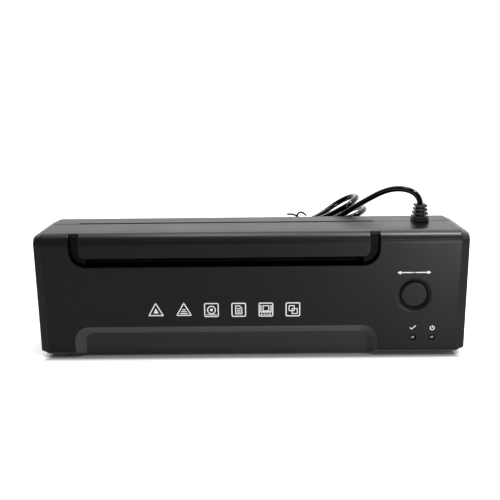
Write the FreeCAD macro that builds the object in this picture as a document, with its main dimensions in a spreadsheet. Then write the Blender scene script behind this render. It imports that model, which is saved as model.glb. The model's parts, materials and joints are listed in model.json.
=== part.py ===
import FreeCAD, Part
import math
import os
import Sketcher

# Pouch laminator, standing upright on four rubber feet.
# Frame: origin on the floor under the middle of the case, +X to the right seen
# from the front, +Y to the rear, +Z up. All lengths are in millimetres.

doc = FreeCAD.newDocument("PouchLaminator")

# ---------------------------------------------------------------- driving sizes
driving = {
    # case
    "width": 340, "depth": 68, "bodyHeight": 99.5, "footHeight": 2, "frontDepth": 40,
    "wall": 2.4, "capThickness": 7, "capTaper": 3, "topFrontRadius": 9.5, "topRearRadius": 6,
    "bottomRadius": 4, "lipThickness": 1.8, "lipReach": 3, "lipClearance": 0.15,
    # pouch path and the curved channel round the entry slot
    "pathDrop": 23.4, "pathX": -21, "slotHeight": 7.4, "slotLength": 219, "channelHalf": 121.4,
    "channelWidth": 8, "channelDepth": 5.5, "channelRadius": 12.7, "throatHeight": 5,
    "guideWall": 1.6, "exitHeight": 6, "heaterGap": 5,
    # top vent and rear louvres
    "ventFront": 1.4, "ventRear": 1.6, "louvreWidth": 2.4, "louvreHeight": 22, "louvrePitch": 6,
    "louvreX": 108, "louvreZ": 20, "louvreCount": 8,
    # recess at the foot of the front panel
    "recessHalf": 120.5, "recessTop": 23.5, "recessDepth": 4, "recessBevel": 8,
    "recessBevelTop": 6, "recessRadius": 12,
    # button and lights
    "buttonX": 128, "buttonZ": 50.5, "buttonRadius": 10.5, "buttonRim": 13.8, "buttonTravel": 1.5,
    "buttonGap": 0.35, "buttonDepth": 5, "readyX": 128.1, "powerX": 143.3, "lightZ": 14.9,
    "lightRadius": 2.5, "lightGap": 0.1, "stemRadius": 2, "plungerRadius": 1.6, "plungerGap": 0.2,
    # steel frame
    "plateReachLeft": 121, "plateReachRight": 123, "plateThickness": 1.2, "plateTopGap": 2.1,
    "plateFrontGap": 1.1, "plateRearGap": 5.1,
    "rodRadius": 3, "rodFrontY": -23.5, "rodRearY": 23, "rodLowZ": 10, "rodMidDrop": 34.1,
    "rodHighDrop": 23.1,
    # rollers
    "rollerRadius": 8, "shaftRadius": 3, "nipGap": 0.3, "rollerClear": 1.5,
    "rollerLength": 226, "runningGap": 0.05, "bushRadius": 5, "bushFlange": 6.6,
    "bushFlangeThickness": 1.2, "bushLength": 4, "shaftLeftReach": 5, "shaftRightReach": 9.5,
    "gearWidth": 6, "gearOffset": 3.2, "rollerTeeth": 18, "idlerTeeth": 24, "pinionTeeth": 12,
    "backlash": 0.3, "studRadius": 2.5,
    # heating plates
    "heaterY": 1, "heaterDepth": 15, "heaterThickness": 4, "stripThickness": 2, "stripDepth": 11,
    "shieldThickness": 0.6,
    # motor
    "motorRadius": 22.5, "motorLength": 19, "motorDrop": 12, "motorShaftRadius": 2.5,
    "motorBossRadius": 6, "motorEarReach": 26.5,
    # control board
    "boardGap": 1.6, "boardWidth": 35, "boardZ": 8, "boardHeight": 64, "boardY": -19,
    "relayWidth": 12, "relayHeight": 20, "relayDepth": 13, "canRadius": 5, "canLength": 14,
    "tabWidth": 10, "terminalWidth": 15, "terminalHeight": 10, "terminalDepth": 10,
    "thermostatX": -60, "thermostatRadius": 6, "fuseX": 10, "fuseLength": 11, "fuseRadius": 2,
    "boardThickness": 1.6, "boardPostRadius": 3, "boardScrewRadius": 1.2,
    # fasteners
    "caseScrewInset": 8, "caseScrewLow": 10, "caseScrewDrop": 15.5, "screwRadius": 1.5,
    "screwHeadRadius": 3, "screwHeadHeight": 2, "screwBite": 9, "towerRadius": 5,
    "pillarRadius": 4, "headSeat": 4, "footRadius": 6.5, "footInsetX": 22, "footInsetY": 13,
    # power cord
    "cordRadius": 2.5, "reliefX": 138.7, "reliefHeight": 13.7, "reliefBase": 12.6,
    "reliefTopWidth": 9.4, "reliefNeck": 4.4, "reliefGap": 0.1, "reliefFlange": 3,
    "hankSlope": 25, "hankX": -11.4, "hankY": 60, "hankZ": 57.1,
    "hankLength": 236, "hankEndHalf": 17.5, "hankWaistHalf": 8.5, "hankThickness": 15.6,
    "tieReach": 67, "tieWidth": 4, "tieThickness": 1,
    "plugX": -56, "plugY": 87, "plugBootLength": 12, "plugBodyLength": 32, "plugWidth": 26,
    "plugHeight": 14, "plugPinLength": 19, "plugPinSpacing": 19, "plugPinRadius": 2, "plugLift": 0.05,
}

sheet = doc.addObject("Spreadsheet::Sheet", "Sizes")
for row, (alias, number) in enumerate(driving.items(), start=1):
    sheet.set(f"A{row}", alias)
    sheet.set(f"B{row}", str(number))
    sheet.setAlias(f"B{row}", alias)
doc.recompute()


class Size:
    """A length that knows its value and the spreadsheet formula behind it."""

    def __init__(self, value, formula):
        self.value = value
        self.formula = formula

    def join(self, other, sign, value):
        return Size(value, f"({self.formula} {sign} {other.formula})")

    def __add__(self, other):
        other = size(other)
        return self.join(other, "+", self.value + other.value)

    def __sub__(self, other):
        other = size(other)
        return self.join(other, "-", self.value - other.value)

    def __mul__(self, other):
        other = size(other)
        return self.join(other, "*", self.value * other.value)

    def __truediv__(self, other):
        other = size(other)
        return self.join(other, "/", self.value / other.value)

    def __radd__(self, other):
        return size(other) + self

    def __rsub__(self, other):
        return size(other) - self

    def __rmul__(self, other):
        return size(other) * self

    def __neg__(self):
        return Size(-self.value, f"(0 - {self.formula})")


def size(number):
    """Any number as a Size."""
    return number if isinstance(number, Size) else Size(float(number), f"({float(number):.6f})")


class Sheet:
    """Every cell of the spreadsheet as a Size with the cell's name."""


cell = Sheet()
for alias in driving:
    setattr(cell, alias, Size(float(sheet.get(alias)), f"Sizes.{alias}"))

# --------------------------------------------------------------- derived places
half = cell.width / 2
shellHalf = half - cell.capThickness
frontY = -(cell.depth / 2)
rearY = cell.depth / 2
seamY = frontY + cell.frontDepth
lowZ = cell.footHeight
highZ = lowZ + cell.bodyHeight
innerFrontY = frontY + cell.wall
innerRearY = rearY - cell.wall
innerLowZ = lowZ + cell.wall
innerHighZ = highZ - cell.wall
floorY = frontY + cell.channelDepth
pathZ = highZ - cell.pathDrop
slotLowZ = pathZ - cell.slotHeight / 2
slotHighZ = pathZ + cell.slotHeight / 2
lowerRollerZ = pathZ - cell.rollerRadius - cell.nipGap / 2
upperRollerZ = pathZ + cell.rollerRadius + cell.nipGap / 2
rollerReach = cell.heaterDepth / 2 + cell.rollerClear + cell.rollerRadius
feedY = cell.heaterY - rollerReach
exitY = cell.heaterY + rollerReach
plateLeft = cell.pathX - cell.plateReachLeft
plateRight = cell.pathX + cell.plateReachRight
plateOuterLeft = plateLeft - cell.plateThickness
plateOuterRight = plateRight + cell.plateThickness
gearX = plateOuterRight + cell.gearOffset
boardX = gearX + cell.gearWidth + 1.2 + cell.boardGap
caseScrewX = shellHalf - cell.caseScrewInset

pieces = []


def keep(label, item):
    """Name a finished sub-part and put it on the list that is written out."""
    item.Label = label
    pieces.append(item)
    return item


def bind(item, prop, length):
    item.setExpression(prop, size(length).formula)


def place(item, x, y, z):
    for axis, length in (("x", x), ("y", y), ("z", z)):
        bind(item, f"Placement.Base.{axis}", length)


# ------------------------------------------------------------- Part primitives
turns = {
    "X": FreeCAD.Rotation(FreeCAD.Vector(0, 1, 0), 90),
    "Y": FreeCAD.Rotation(FreeCAD.Vector(1, 0, 0), -90),
    "Z": FreeCAD.Rotation(),
}


def block(name, low, high):
    """A box between two opposite corners."""
    item = doc.addObject("Part::Box", name)
    for prop, start, end in zip(("Length", "Width", "Height"), low, high):
        bind(item, prop, size(end) - start)
    place(item, *low)
    return item


def rod(name, axis, start, length, radius):
    """A cylinder that runs from start along +X, +Y or +Z."""
    item = doc.addObject("Part::Cylinder", name)
    item.Placement = FreeCAD.Placement(FreeCAD.Vector(), turns[axis])
    bind(item, "Radius", radius)
    bind(item, "Height", length)
    place(item, *start)
    return item


def cone(name, axis, start, length, startRadius, endRadius):
    item = doc.addObject("Part::Cone", name)
    item.Placement = FreeCAD.Placement(FreeCAD.Vector(), turns[axis])
    bind(item, "Radius1", startRadius)
    bind(item, "Radius2", endRadius)
    bind(item, "Height", length)
    place(item, *start)
    return item


def ball(name, centre, radius):
    item = doc.addObject("Part::Sphere", name)
    bind(item, "Radius", radius)
    place(item, *centre)
    return item


def fuse(name, items):
    item = doc.addObject("Part::MultiFuse", name)
    item.Shapes = items
    return item


def cut(name, base, tools):
    item = doc.addObject("Part::Cut", name)
    item.Base = base
    item.Tool = tools[0] if len(tools) == 1 else fuse(name + "Tools", tools)
    return item


def group(name, items):
    item = doc.addObject("Part::Compound", name)
    item.Links = items
    return item


# --------------------------------------------------------- PartDesign helpers
planeRoles = {"X": "YZ_Plane", "Y": "XZ_Plane", "Z": "XY_Plane"}
# the sketch on the XZ plane looks along -Y, so its offset and pads are turned round
planeSigns = {"X": 1, "Y": -1, "Z": 1}


def newBody(name):
    return doc.addObject("PartDesign::Body", name)


def newSketch(body, axis, at, name):
    """An empty sketch square to an axis, at a place along it."""
    item = body.newObject("Sketcher::SketchObject", name)
    origin = next(part for part in body.Origin.OriginFeatures if part.Role == planeRoles[axis])
    item.AttachmentSupport = (origin, [""])
    item.MapMode = "FlatFace"
    bind(item, "AttachmentOffset.Base.z", size(at) * planeSigns[axis])
    return item


def pin(sketch, geometry, point, u, v):
    """Hold one end of a sketch line at a bound place."""
    for kind, length in (("DistanceX", u), ("DistanceY", v)):
        row = sketch.addConstraint(Sketcher.Constraint(kind, -1, 1, geometry, point, length.value))
        sketch.setExpression(f"Constraints[{row}]", length.formula)


def towards(start, end):
    """The unit step from one corner to the next, for square outlines."""
    run = [end[0].value - start[0].value, end[1].value - start[1].value]
    reach = math.hypot(*run)
    return run[0] / reach, run[1] / reach


def outline(body, axis, at, corners, name):
    """A closed outline of straight sides. A corner is (u, v) or, where both of its
    sides lie along the sketch axes, (u, v, radius)."""
    sketch = newSketch(body, axis, at, name)
    corners = [tuple(size(number) for number in corner) for corner in corners]
    starts = []
    ends = []
    for index, corner in enumerate(corners):
        before = towards(corners[index - 1], corner)
        after = towards(corner, corners[(index + 1) % len(corners)])
        if len(corner) == 2:
            starts.append(corner)
            ends.append(corner)
            continue
        radius = corner[2]
        starts.append(tuple(corner[k] - radius * round(before[k]) for k in (0, 1)))
        ends.append(tuple(corner[k] + radius * round(after[k]) for k in (0, 1)))
    lines = []
    for index in range(len(corners)):
        first = ends[index]
        last = starts[(index + 1) % len(corners)]
        tips = [FreeCAD.Vector(tip[0].value, tip[1].value, 0) for tip in (first, last)]
        line = sketch.addGeometry(Part.LineSegment(*tips), False)
        pin(sketch, line, 1, *first)
        pin(sketch, line, 2, *last)
        lines.append(line)
    for index, corner in enumerate(corners):
        if len(corner) == 3:
            roundCorner(sketch, lines[index - 1], lines[index], corner, starts[index], ends[index])
    return sketch


def roundCorner(sketch, lineBefore, lineAfter, corner, start, end):
    """The quarter arc between the two lines that meet at a rounded corner."""
    tips = [FreeCAD.Vector(tip[0].value, tip[1].value, 0) for tip in (start, end)]
    sharp = FreeCAD.Vector(corner[0].value, corner[1].value, 0)
    centre = tips[0] + tips[1] - sharp
    middle = centre + (sharp - centre).normalize() * corner[2].value
    arc = sketch.addGeometry(Part.Arc(tips[0], middle, tips[1]), False)
    ends = [sketch.getPoint(arc, 1), sketch.getPoint(arc, 2)]
    near = 1 if ends[0].distanceToPoint(tips[0]) < ends[1].distanceToPoint(tips[0]) else 2
    sketch.addConstraint(Sketcher.Constraint("Coincident", lineBefore, 2, arc, near))
    sketch.addConstraint(Sketcher.Constraint("Coincident", lineAfter, 1, arc, 3 - near))
    row = sketch.addConstraint(Sketcher.Constraint("Radius", arc, corner[2].value))
    sketch.setExpression(f"Constraints[{row}]", corner[2].formula)


def rounds(body, axis, at, circles, name):
    """A sketch of circles, each given as (u, v, radius)."""
    sketch = newSketch(body, axis, at, name)
    for u, v, radius in circles:
        u, v, radius = size(u), size(v), size(radius)
        centre = FreeCAD.Vector(u.value, v.value, 0)
        ring = sketch.addGeometry(Part.Circle(centre, FreeCAD.Vector(0, 0, 1), radius.value), False)
        pin(sketch, ring, 3, u, v)
        row = sketch.addConstraint(Sketcher.Constraint("Radius", ring, radius.value))
        sketch.setExpression(f"Constraints[{row}]", radius.formula)
    return sketch


def pad(body, sketch, length):
    """Add material from the sketch towards the positive axis."""
    item = body.newObject("PartDesign::Pad", sketch.Name + "Pad")
    item.Profile = sketch
    item.Reversed = planeRoles["Y"] in supportRole(sketch)
    bind(item, "Length", length)
    return item


def pocket(body, sketch, length):
    """Take material away from the sketch towards the positive axis."""
    item = body.newObject("PartDesign::Pocket", sketch.Name + "Pocket")
    item.Profile = sketch
    item.Reversed = planeRoles["Y"] not in supportRole(sketch)
    bind(item, "Length", length)
    return item


def supportRole(sketch):
    return sketch.AttachmentSupport[0][0].Role


def loft(body, kind, sketches):
    item = body.newObject(f"PartDesign::{kind}Loft", sketches[0].Name + kind)
    item.Profile = sketches[0]
    item.Sections = sketches[1:]
    item.Ruled = True
    return item


def rectangle(u0, v0, u1, v1):
    return [(u0, v0), (u1, v0), (u1, v1), (u0, v1)]


# ------------------------------------------------------------------------ case
def caseProfile(inset, startY, endY):
    """The case seen from the end, cut off at startY and endY. A side that is cut off
    has square corners."""
    cornersOut = []
    frontRound = startY is None
    rearRound = endY is None
    y0 = frontY + inset if frontRound else size(startY)
    y1 = rearY - inset if rearRound else size(endY)
    z0 = lowZ + inset
    z1 = highZ - inset
    for y, z, radius, isRound in ((y0, z0, cell.bottomRadius, frontRound),
                                  (y1, z0, cell.bottomRadius, rearRound),
                                  (y1, z1, cell.topRearRadius, rearRound),
                                  (y0, z1, cell.topFrontRadius, frontRound)):
        left = radius - inset
        cornersOut.append((y, z, left) if isRound and left.value > 0.2 else (y, z))
    return cornersOut


def channelOutline(grow):
    """The U-shaped channel round the entry lip, wider by grow on each side."""
    top = highZ + 5
    outer = cell.channelHalf + grow
    inner = cell.channelHalf - cell.channelWidth - grow
    low = slotLowZ - grow
    lip = slotHighZ + grow
    outerRadius = cell.channelRadius + grow
    innerRadius = cell.channelRadius - cell.channelWidth - grow
    return [
        (cell.pathX - outer, top), (cell.pathX - outer, low, outerRadius),
        (cell.pathX + outer, low, outerRadius), (cell.pathX + outer, top),
        (cell.pathX + inner, top), (cell.pathX + inner, lip, innerRadius),
        (cell.pathX - inner, lip, innerRadius), (cell.pathX - inner, top),
    ]


def recessOutline(sideInset, topInset):
    """The arch of the front recess, open below the case."""
    below = lowZ - 6
    top = lowZ + cell.recessTop - topInset
    reach = cell.recessHalf - sideInset
    return [
        (cell.pathX - reach, below), (cell.pathX + reach, below),
        (cell.pathX + reach, top, cell.recessRadius - topInset),
        (cell.pathX - reach, top, cell.recessRadius - topInset),
    ]


screwPlaces = [
    (side, height) for side in (-1, 1)
    for height in (lowZ + cell.caseScrewLow, highZ - cell.caseScrewDrop)
]


def screwX(side):
    """The case screws stand at the same distance left and right of the middle."""
    return caseScrewX * side


def makeFrontCover():
    body = newBody("FrontCover")
    length = shellHalf * 2
    outside = outline(body, "X", -shellHalf, caseProfile(0, None, seamY), "FrontOutside")
    pad(body, outside, length)
    inside = outline(body, "X", -shellHalf, caseProfile(cell.wall, None, seamY + 1), "FrontInside")
    pocket(body, inside, length)
    # the wall follows the recess inwards
    backing = outline(body, "Y", innerFrontY, rectangle(
        cell.pathX - cell.recessHalf - cell.wall, innerLowZ,
        cell.pathX + cell.recessHalf + cell.wall, lowZ + cell.recessTop + cell.wall), "RecessBacking")
    pad(body, backing, cell.recessDepth)
    mouth = outline(body, "Y", frontY - 0.01, recessOutline(0, 0), "RecessMouth")
    bed = outline(body, "Y", frontY + cell.recessDepth,
                  recessOutline(cell.recessBevel, cell.recessBevelTop), "RecessBed")
    loft(body, "Subtractive", [mouth, bed])
    channel = outline(body, "Y", frontY - 1, channelOutline(0), "Channel")
    pocket(body, channel, cell.channelDepth + 1)
    vent = outline(body, "Z", innerHighZ - 1, rectangle(
        cell.pathX - cell.channelHalf, seamY - cell.ventFront,
        cell.pathX + cell.channelHalf, seamY + 1), "VentFront")
    pocket(body, vent, cell.wall + 2)
    # pillars that the case screws bite into, and posts for the control board
    pillars = [(screwX(side), height, cell.pillarRadius) for side, height in screwPlaces]
    pad(body, rounds(body, "Y", innerFrontY - 0.5, pillars, "Pillars"),
        seamY - innerFrontY + 0.5)
    posts = [(x, z, cell.boardPostRadius) for x, z in boardPosts]
    pad(body, rounds(body, "Y", innerFrontY - 0.5, posts, "BoardPosts"),
        cell.boardY - innerFrontY + 0.5)
    # the button's guide sleeve
    sleeveRadius = cell.buttonRadius + cell.buttonGap
    sleeve = rounds(body, "Y", innerFrontY - 0.5,
                    [(cell.buttonX, cell.buttonZ, sleeveRadius + cell.lipThickness)], "ButtonSleeve")
    pad(body, sleeve, cell.buttonDepth + 0.5)
    well = rounds(body, "Y", frontY - 1, [(cell.buttonX, cell.buttonZ, sleeveRadius)], "ButtonWell")
    pocket(body, well, cell.depth / 2)
    rimOut = rounds(body, "Y", frontY - 0.01, [(cell.buttonX, cell.buttonZ, cell.buttonRim)], "RimOut")
    rimIn = rounds(body, "Y", frontY + cell.wall * 0.7,
                   [(cell.buttonX, cell.buttonZ, sleeveRadius - 0.01)], "RimIn")
    loft(body, "Subtractive", [rimOut, rimIn])
    lights = [(x, cell.lightZ, cell.lightRadius + cell.lightGap) for x in (cell.readyX, cell.powerX)]
    pocket(body, rounds(body, "Y", frontY - 1, lights, "LightHoles"), cell.wall + 2)
    pilots = [(screwX(side), height, cell.screwRadius) for side, height in screwPlaces]
    pocket(body, rounds(body, "Y", seamY - cell.screwBite - 1, pilots, "Pilots"), cell.screwBite + 2)
    boardPilots = [(x, z, cell.boardScrewRadius) for x, z in boardPosts]
    pocket(body, rounds(body, "Y", cell.boardY - 6, boardPilots, "BoardPilots"), 7)
    gland = rounds(body, "Z", innerHighZ - 1, [
        (cell.reliefX, seamY, cell.reliefNeck + cell.reliefGap)], "FrontGland")
    pocket(body, gland, cell.wall + 2)
    return keep("front_cover", body)


def makeRearCover():
    body = newBody("RearCover")
    length = shellHalf * 2
    pad(body, outline(body, "X", -shellHalf, caseProfile(0, seamY, None), "RearOutside"), length)
    inside = outline(body, "X", -shellHalf, caseProfile(cell.wall, seamY - 1, None), "RearInside")
    pocket(body, inside, length)
    towers = [(screwX(side), height, cell.towerRadius) for side, height in screwPlaces]
    pad(body, rounds(body, "Y", seamY, towers, "Towers"), innerRearY + 0.5 - seamY)
    seats = [(screwX(side), height, cell.screwHeadRadius + 0.3) for side, height in screwPlaces]
    pocket(body, rounds(body, "Y", seamY + cell.headSeat, seats, "HeadSeats"), cell.depth)
    holes = [(screwX(side), height, cell.screwRadius + 0.1) for side, height in screwPlaces]
    pocket(body, rounds(body, "Y", seamY - 1, holes, "ScrewHoles"), cell.headSeat + 2)
    exitSlot = outline(body, "Y", innerRearY - 1, rectangle(
        cell.pathX - cell.slotLength / 2, pathZ - cell.exitHeight / 2,
        cell.pathX + cell.slotLength / 2, pathZ + cell.exitHeight / 2), "ExitSlot")
    pocket(body, exitSlot, cell.wall + 2)
    vent = outline(body, "Z", innerHighZ - 1, rectangle(
        cell.pathX - cell.channelHalf, seamY - 1,
        cell.pathX + cell.channelHalf, seamY + cell.ventRear), "VentRear")
    pocket(body, vent, cell.wall + 2)
    bevelLow = outline(body, "Z", highZ - cell.wall / 2, rectangle(
        cell.pathX - cell.channelHalf, seamY - 1,
        cell.pathX + cell.channelHalf, seamY + cell.ventRear), "VentBevelLow")
    bevelHigh = outline(body, "Z", highZ + 0.01, rectangle(
        cell.pathX - cell.channelHalf, seamY - 1,
        cell.pathX + cell.channelHalf, seamY + cell.ventRear * 1.75), "VentBevelHigh")
    loft(body, "Subtractive", [bevelLow, bevelHigh])
    gland = rounds(body, "Z", innerHighZ - 1, [
        (cell.reliefX, seamY, cell.reliefNeck + cell.reliefGap)], "RearGland")
    pocket(body, gland, cell.wall + 2)
    louvre = outline(body, "Y", innerRearY - 1, rectangle(
        cell.louvreX, cell.louvreZ, cell.louvreX + cell.louvreWidth,
        cell.louvreZ + cell.louvreHeight), "Louvre")
    first = pocket(body, louvre, cell.wall + 2)
    louvres = body.newObject("PartDesign::LinearPattern", "Louvres")
    louvres.Originals = [first]
    louvres.Direction = (louvre, ["H_Axis"])
    louvres.Occurrences = int(cell.louvreCount.value)
    bind(louvres, "Length", cell.louvrePitch * (cell.louvreCount - 1))
    bind(louvres, "Occurrences", cell.louvreCount)
    body.Tip = louvres
    return keep("rear_cover", body)


def makeEndCap(label, side):
    """A tapered end cap with a hollow inside and a lip that plugs into the case."""
    name = "RightCap" if side > 0 else "LeftCap"
    body = newBody(name)
    inner = shellHalf * side
    outer = half * side
    face = outline(body, "X", inner, caseProfile(0, None, None), name + "Inner")
    end = outline(body, "X", outer, caseProfile(cell.capTaper, None, None), name + "Outer")
    loft(body, "Additive", [face, end])
    lip = cell.wall + cell.lipClearance
    plug = outline(body, "X", inner if side < 0 else inner - cell.lipReach,
                   caseProfile(lip, None, None), name + "Lip")
    pad(body, plug, cell.lipReach)
    hollowStart = inner - cell.lipReach - 1 if side > 0 else outer + cell.wall
    hollow = outline(body, "X", hollowStart, caseProfile(lip + cell.lipThickness, None, None),
                     name + "Hollow")
    hollowDepth = cell.capThickness - cell.wall + cell.lipReach + 1
    pocket(body, hollow, hollowDepth)
    return keep(label, body)


boardPosts = [
    (boardX + 4, cell.boardZ + 18), (boardX + cell.boardWidth - 4, cell.boardZ + 18),
    (boardX + 4, cell.boardZ + cell.boardHeight - 4),
    (boardX + cell.boardWidth - 4, cell.boardZ + cell.boardHeight - 4),
]

makeFrontCover()
makeRearCover()
makeEndCap("left_end_cap", -1)
makeEndCap("right_end_cap", 1)


# -------------------------------------------------------------- pouch guides
def makeEntryGuide():
    """The liner of the channel: its floor, its side walls and the throat that leads
    into the feed rollers. It is trimmed to fit inside the front cover."""
    body = newBody("EntryLiner")
    band = outline(body, "Y", innerFrontY, channelOutline(cell.guideWall), "LinerBand")
    pad(body, band, floorY - innerFrontY + cell.guideWall)
    throatReach = cell.slotLength / 2 + cell.guideWall
    throatHalf = cell.throatHeight / 2 + cell.guideWall * 0.75
    throat = outline(body, "Y", floorY, rectangle(
        cell.pathX - throatReach, pathZ - throatHalf,
        cell.pathX + throatReach, pathZ + throatHalf), "Throat")
    pad(body, throat, throatEndY - floorY)
    groove = outline(body, "Y", innerFrontY - 1, channelOutline(0), "LinerGroove")
    pocket(body, groove, floorY - innerFrontY + 1)
    funnelStart = outline(body, "Y", floorY - 0.01, rectangle(
        cell.pathX - cell.slotLength / 2, slotLowZ,
        cell.pathX + cell.slotLength / 2, slotHighZ), "FunnelStart")
    funnelEnd = outline(body, "Y", throatEndY + 0.01, rectangle(
        cell.pathX - cell.slotLength / 2, pathZ - cell.throatHeight / 2,
        cell.pathX + cell.slotLength / 2, pathZ + cell.throatHeight / 2), "FunnelEnd")
    loft(body, "Subtractive", [funnelStart, funnelEnd])
    room = newBody("EntryRoom")
    pad(room, outline(room, "X", -shellHalf, caseProfile(cell.wall, None, seamY), "RoomSide"),
        shellHalf * 2)
    guide = doc.addObject("Part::Common", "EntryGuide")
    guide.Base = body
    guide.Tool = room
    return keep("entry_guide", guide)


def makeExitGuide():
    """A framed lip behind the exit slot that catches the pouch from the rollers."""
    reach = cell.slotLength / 2
    outerHalf = cell.exitHeight / 2 + cell.guideWall
    outer = block("ExitFrame", (cell.pathX - reach - 2, exitStartY, pathZ - outerHalf),
                  (cell.pathX + reach + 2, innerRearY, pathZ + outerHalf))
    inner = block("ExitOpening", (cell.pathX - reach, exitStartY - 1, pathZ - cell.exitHeight / 2),
                  (cell.pathX + reach, innerRearY + 1, pathZ + cell.exitHeight / 2))
    return keep("exit_guide", cut("ExitGuide", outer, [inner]))


throatEndY = feedY - cell.rollerRadius + 0.2
exitStartY = exitY + cell.rollerRadius + 0.8
makeEntryGuide()
makeExitGuide()

# ---------------------------------------------------------------- steel frame
rollerAxes = {
    "lower_feed": (feedY, lowerRollerZ), "upper_feed": (feedY, upperRollerZ),
    "lower_exit": (exitY, lowerRollerZ), "upper_exit": (exitY, upperRollerZ),
}
tieRodPlaces = [
    (cell.rodFrontY, cell.rodLowZ), (cell.rodFrontY, pathZ - cell.rodMidDrop),
    (cell.rodRearY, pathZ - cell.rodHighDrop),
]
pitchPerTooth = (upperRollerZ - lowerRollerZ) / cell.rollerTeeth
idlerRadius = pitchPerTooth.value * cell.idlerTeeth.value / 2
rollerPitchRadius = pitchPerTooth.value * cell.rollerTeeth.value / 2
pinionRadius = pitchPerTooth.value * cell.pinionTeeth.value / 2
idlerY = (feedY.value + exitY.value) / 2
idlerZ = lowerRollerZ.value - math.sqrt(
    (idlerRadius + rollerPitchRadius) ** 2 - (exitY.value - idlerY) ** 2)
pinionZ = idlerZ - idlerRadius - pinionRadius
motorZ = pinionZ - cell.motorDrop.value
earStep = cell.motorEarReach.value * math.sqrt(0.5)
motorEars = [(idlerY - earStep, motorZ + earStep), (idlerY + earStep, motorZ - earStep)]


def makeSidePlate(label, low, extraHoles):
    """A steel plate that carries the roller bushes and the heating plates."""
    body = newBody(label.title().replace("_", ""))
    face = outline(body, "X", low, rectangle(
        frontY + cell.recessDepth + cell.wall + cell.plateFrontGap, innerLowZ,
        innerRearY - cell.plateRearGap, innerHighZ - cell.plateTopGap), body.Name + "Face")
    pad(body, face, cell.plateThickness)
    holes = [(y, z, cell.bushRadius) for y, z in rollerAxes.values()]
    holes += [(y, z, cell.screwRadius) for y, z in tieRodPlaces + heaterScrewPlaces]
    holes += extraHoles
    pocket(body, rounds(body, "X", low - 1, holes, body.Name + "Holes"), cell.plateThickness + 2)
    return keep(label, body)


heaterScrewPlaces = [
    (cell.heaterY, pathZ - cell.heaterGap / 2 - cell.heaterThickness / 2),
    (cell.heaterY, pathZ + cell.heaterGap / 2 + cell.heaterThickness / 2),
]
makeSidePlate("left_side_plate", plateOuterLeft, [])
makeSidePlate("right_side_plate", plateRight,
              [(idlerY, idlerZ, cell.screwRadius), (idlerY, pinionZ, cell.motorBossRadius + 0.3)]
              + [(y, z, cell.screwRadius) for y, z in motorEars])

keep("frame_tie_rods", group("FrameTieRods", [
    cut(f"TieRod{number}",
        rod(f"TieRodBar{number}", "X", (plateLeft, y, z),
            plateRight - plateLeft, cell.rodRadius),
        [rod(f"TieRodTapLeft{number}", "X", (plateLeft - 1, y, z), 11, cell.screwRadius),
         rod(f"TieRodTapRight{number}", "X", (plateRight - 10, y, z), 11, cell.screwRadius)])
    for number, (y, z) in enumerate(tieRodPlaces)]))


# -------------------------------------------------------------------- rollers
def makeRoller(label, y, z):
    """A steel shaft with a silicone sleeve, and its two flanged bushes."""
    name = label.title().replace("_", "")
    start = plateOuterLeft - cell.shaftLeftReach
    shaft = rod(name + "Shaft", "X", (start, y, z),
                plateOuterRight + cell.shaftRightReach - start, cell.shaftRadius)
    keep(label + "_shaft", shaft)
    sleeveStart = (plateLeft + plateRight) / 2 - cell.rollerLength / 2
    sleeve = cut(name + "Sleeve",
                 rod(name + "Rubber", "X", (sleeveStart, y, z), cell.rollerLength, cell.rollerRadius),
                 [rod(name + "Core", "X", (sleeveStart - 1, y, z), cell.rollerLength + 2,
                      cell.shaftRadius)])
    keep(label + "_sleeve", sleeve)


def makeBush(name, y, z, side):
    """A flanged bush that sits in a side plate, flange inside."""
    inner = plateRight if side > 0 else plateLeft
    flangeStart = inner - cell.bushFlangeThickness if side > 0 else inner
    tubeStart = inner if side > 0 else inner - cell.bushLength + cell.bushFlangeThickness
    solid = fuse(name + "Solid", [
        rod(name + "Flange", "X", (flangeStart, y, z), cell.bushFlangeThickness, cell.bushFlange),
        rod(name + "Tube", "X", (tubeStart, y, z), cell.bushLength - cell.bushFlangeThickness,
            cell.bushRadius)])
    bore = rod(name + "Bore", "X", (inner - 10, y, z), 20, cell.shaftRadius + cell.runningGap)
    return cut(name, solid, [bore])


bushes = []
for label, (y, z) in rollerAxes.items():
    makeRoller(label + "_roller", y, z)
    for side in (-1, 1):
        bushes.append(makeBush(f"Bush{len(bushes)}", y, z, side))
keep("roller_bushes", group("RollerBushes", bushes))


# ---------------------------------------------------------------------- gears
def involuteAngle(radius, baseRadius):
    pressure = math.acos(min(1.0, baseRadius / radius))
    return math.tan(pressure) - pressure


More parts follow.
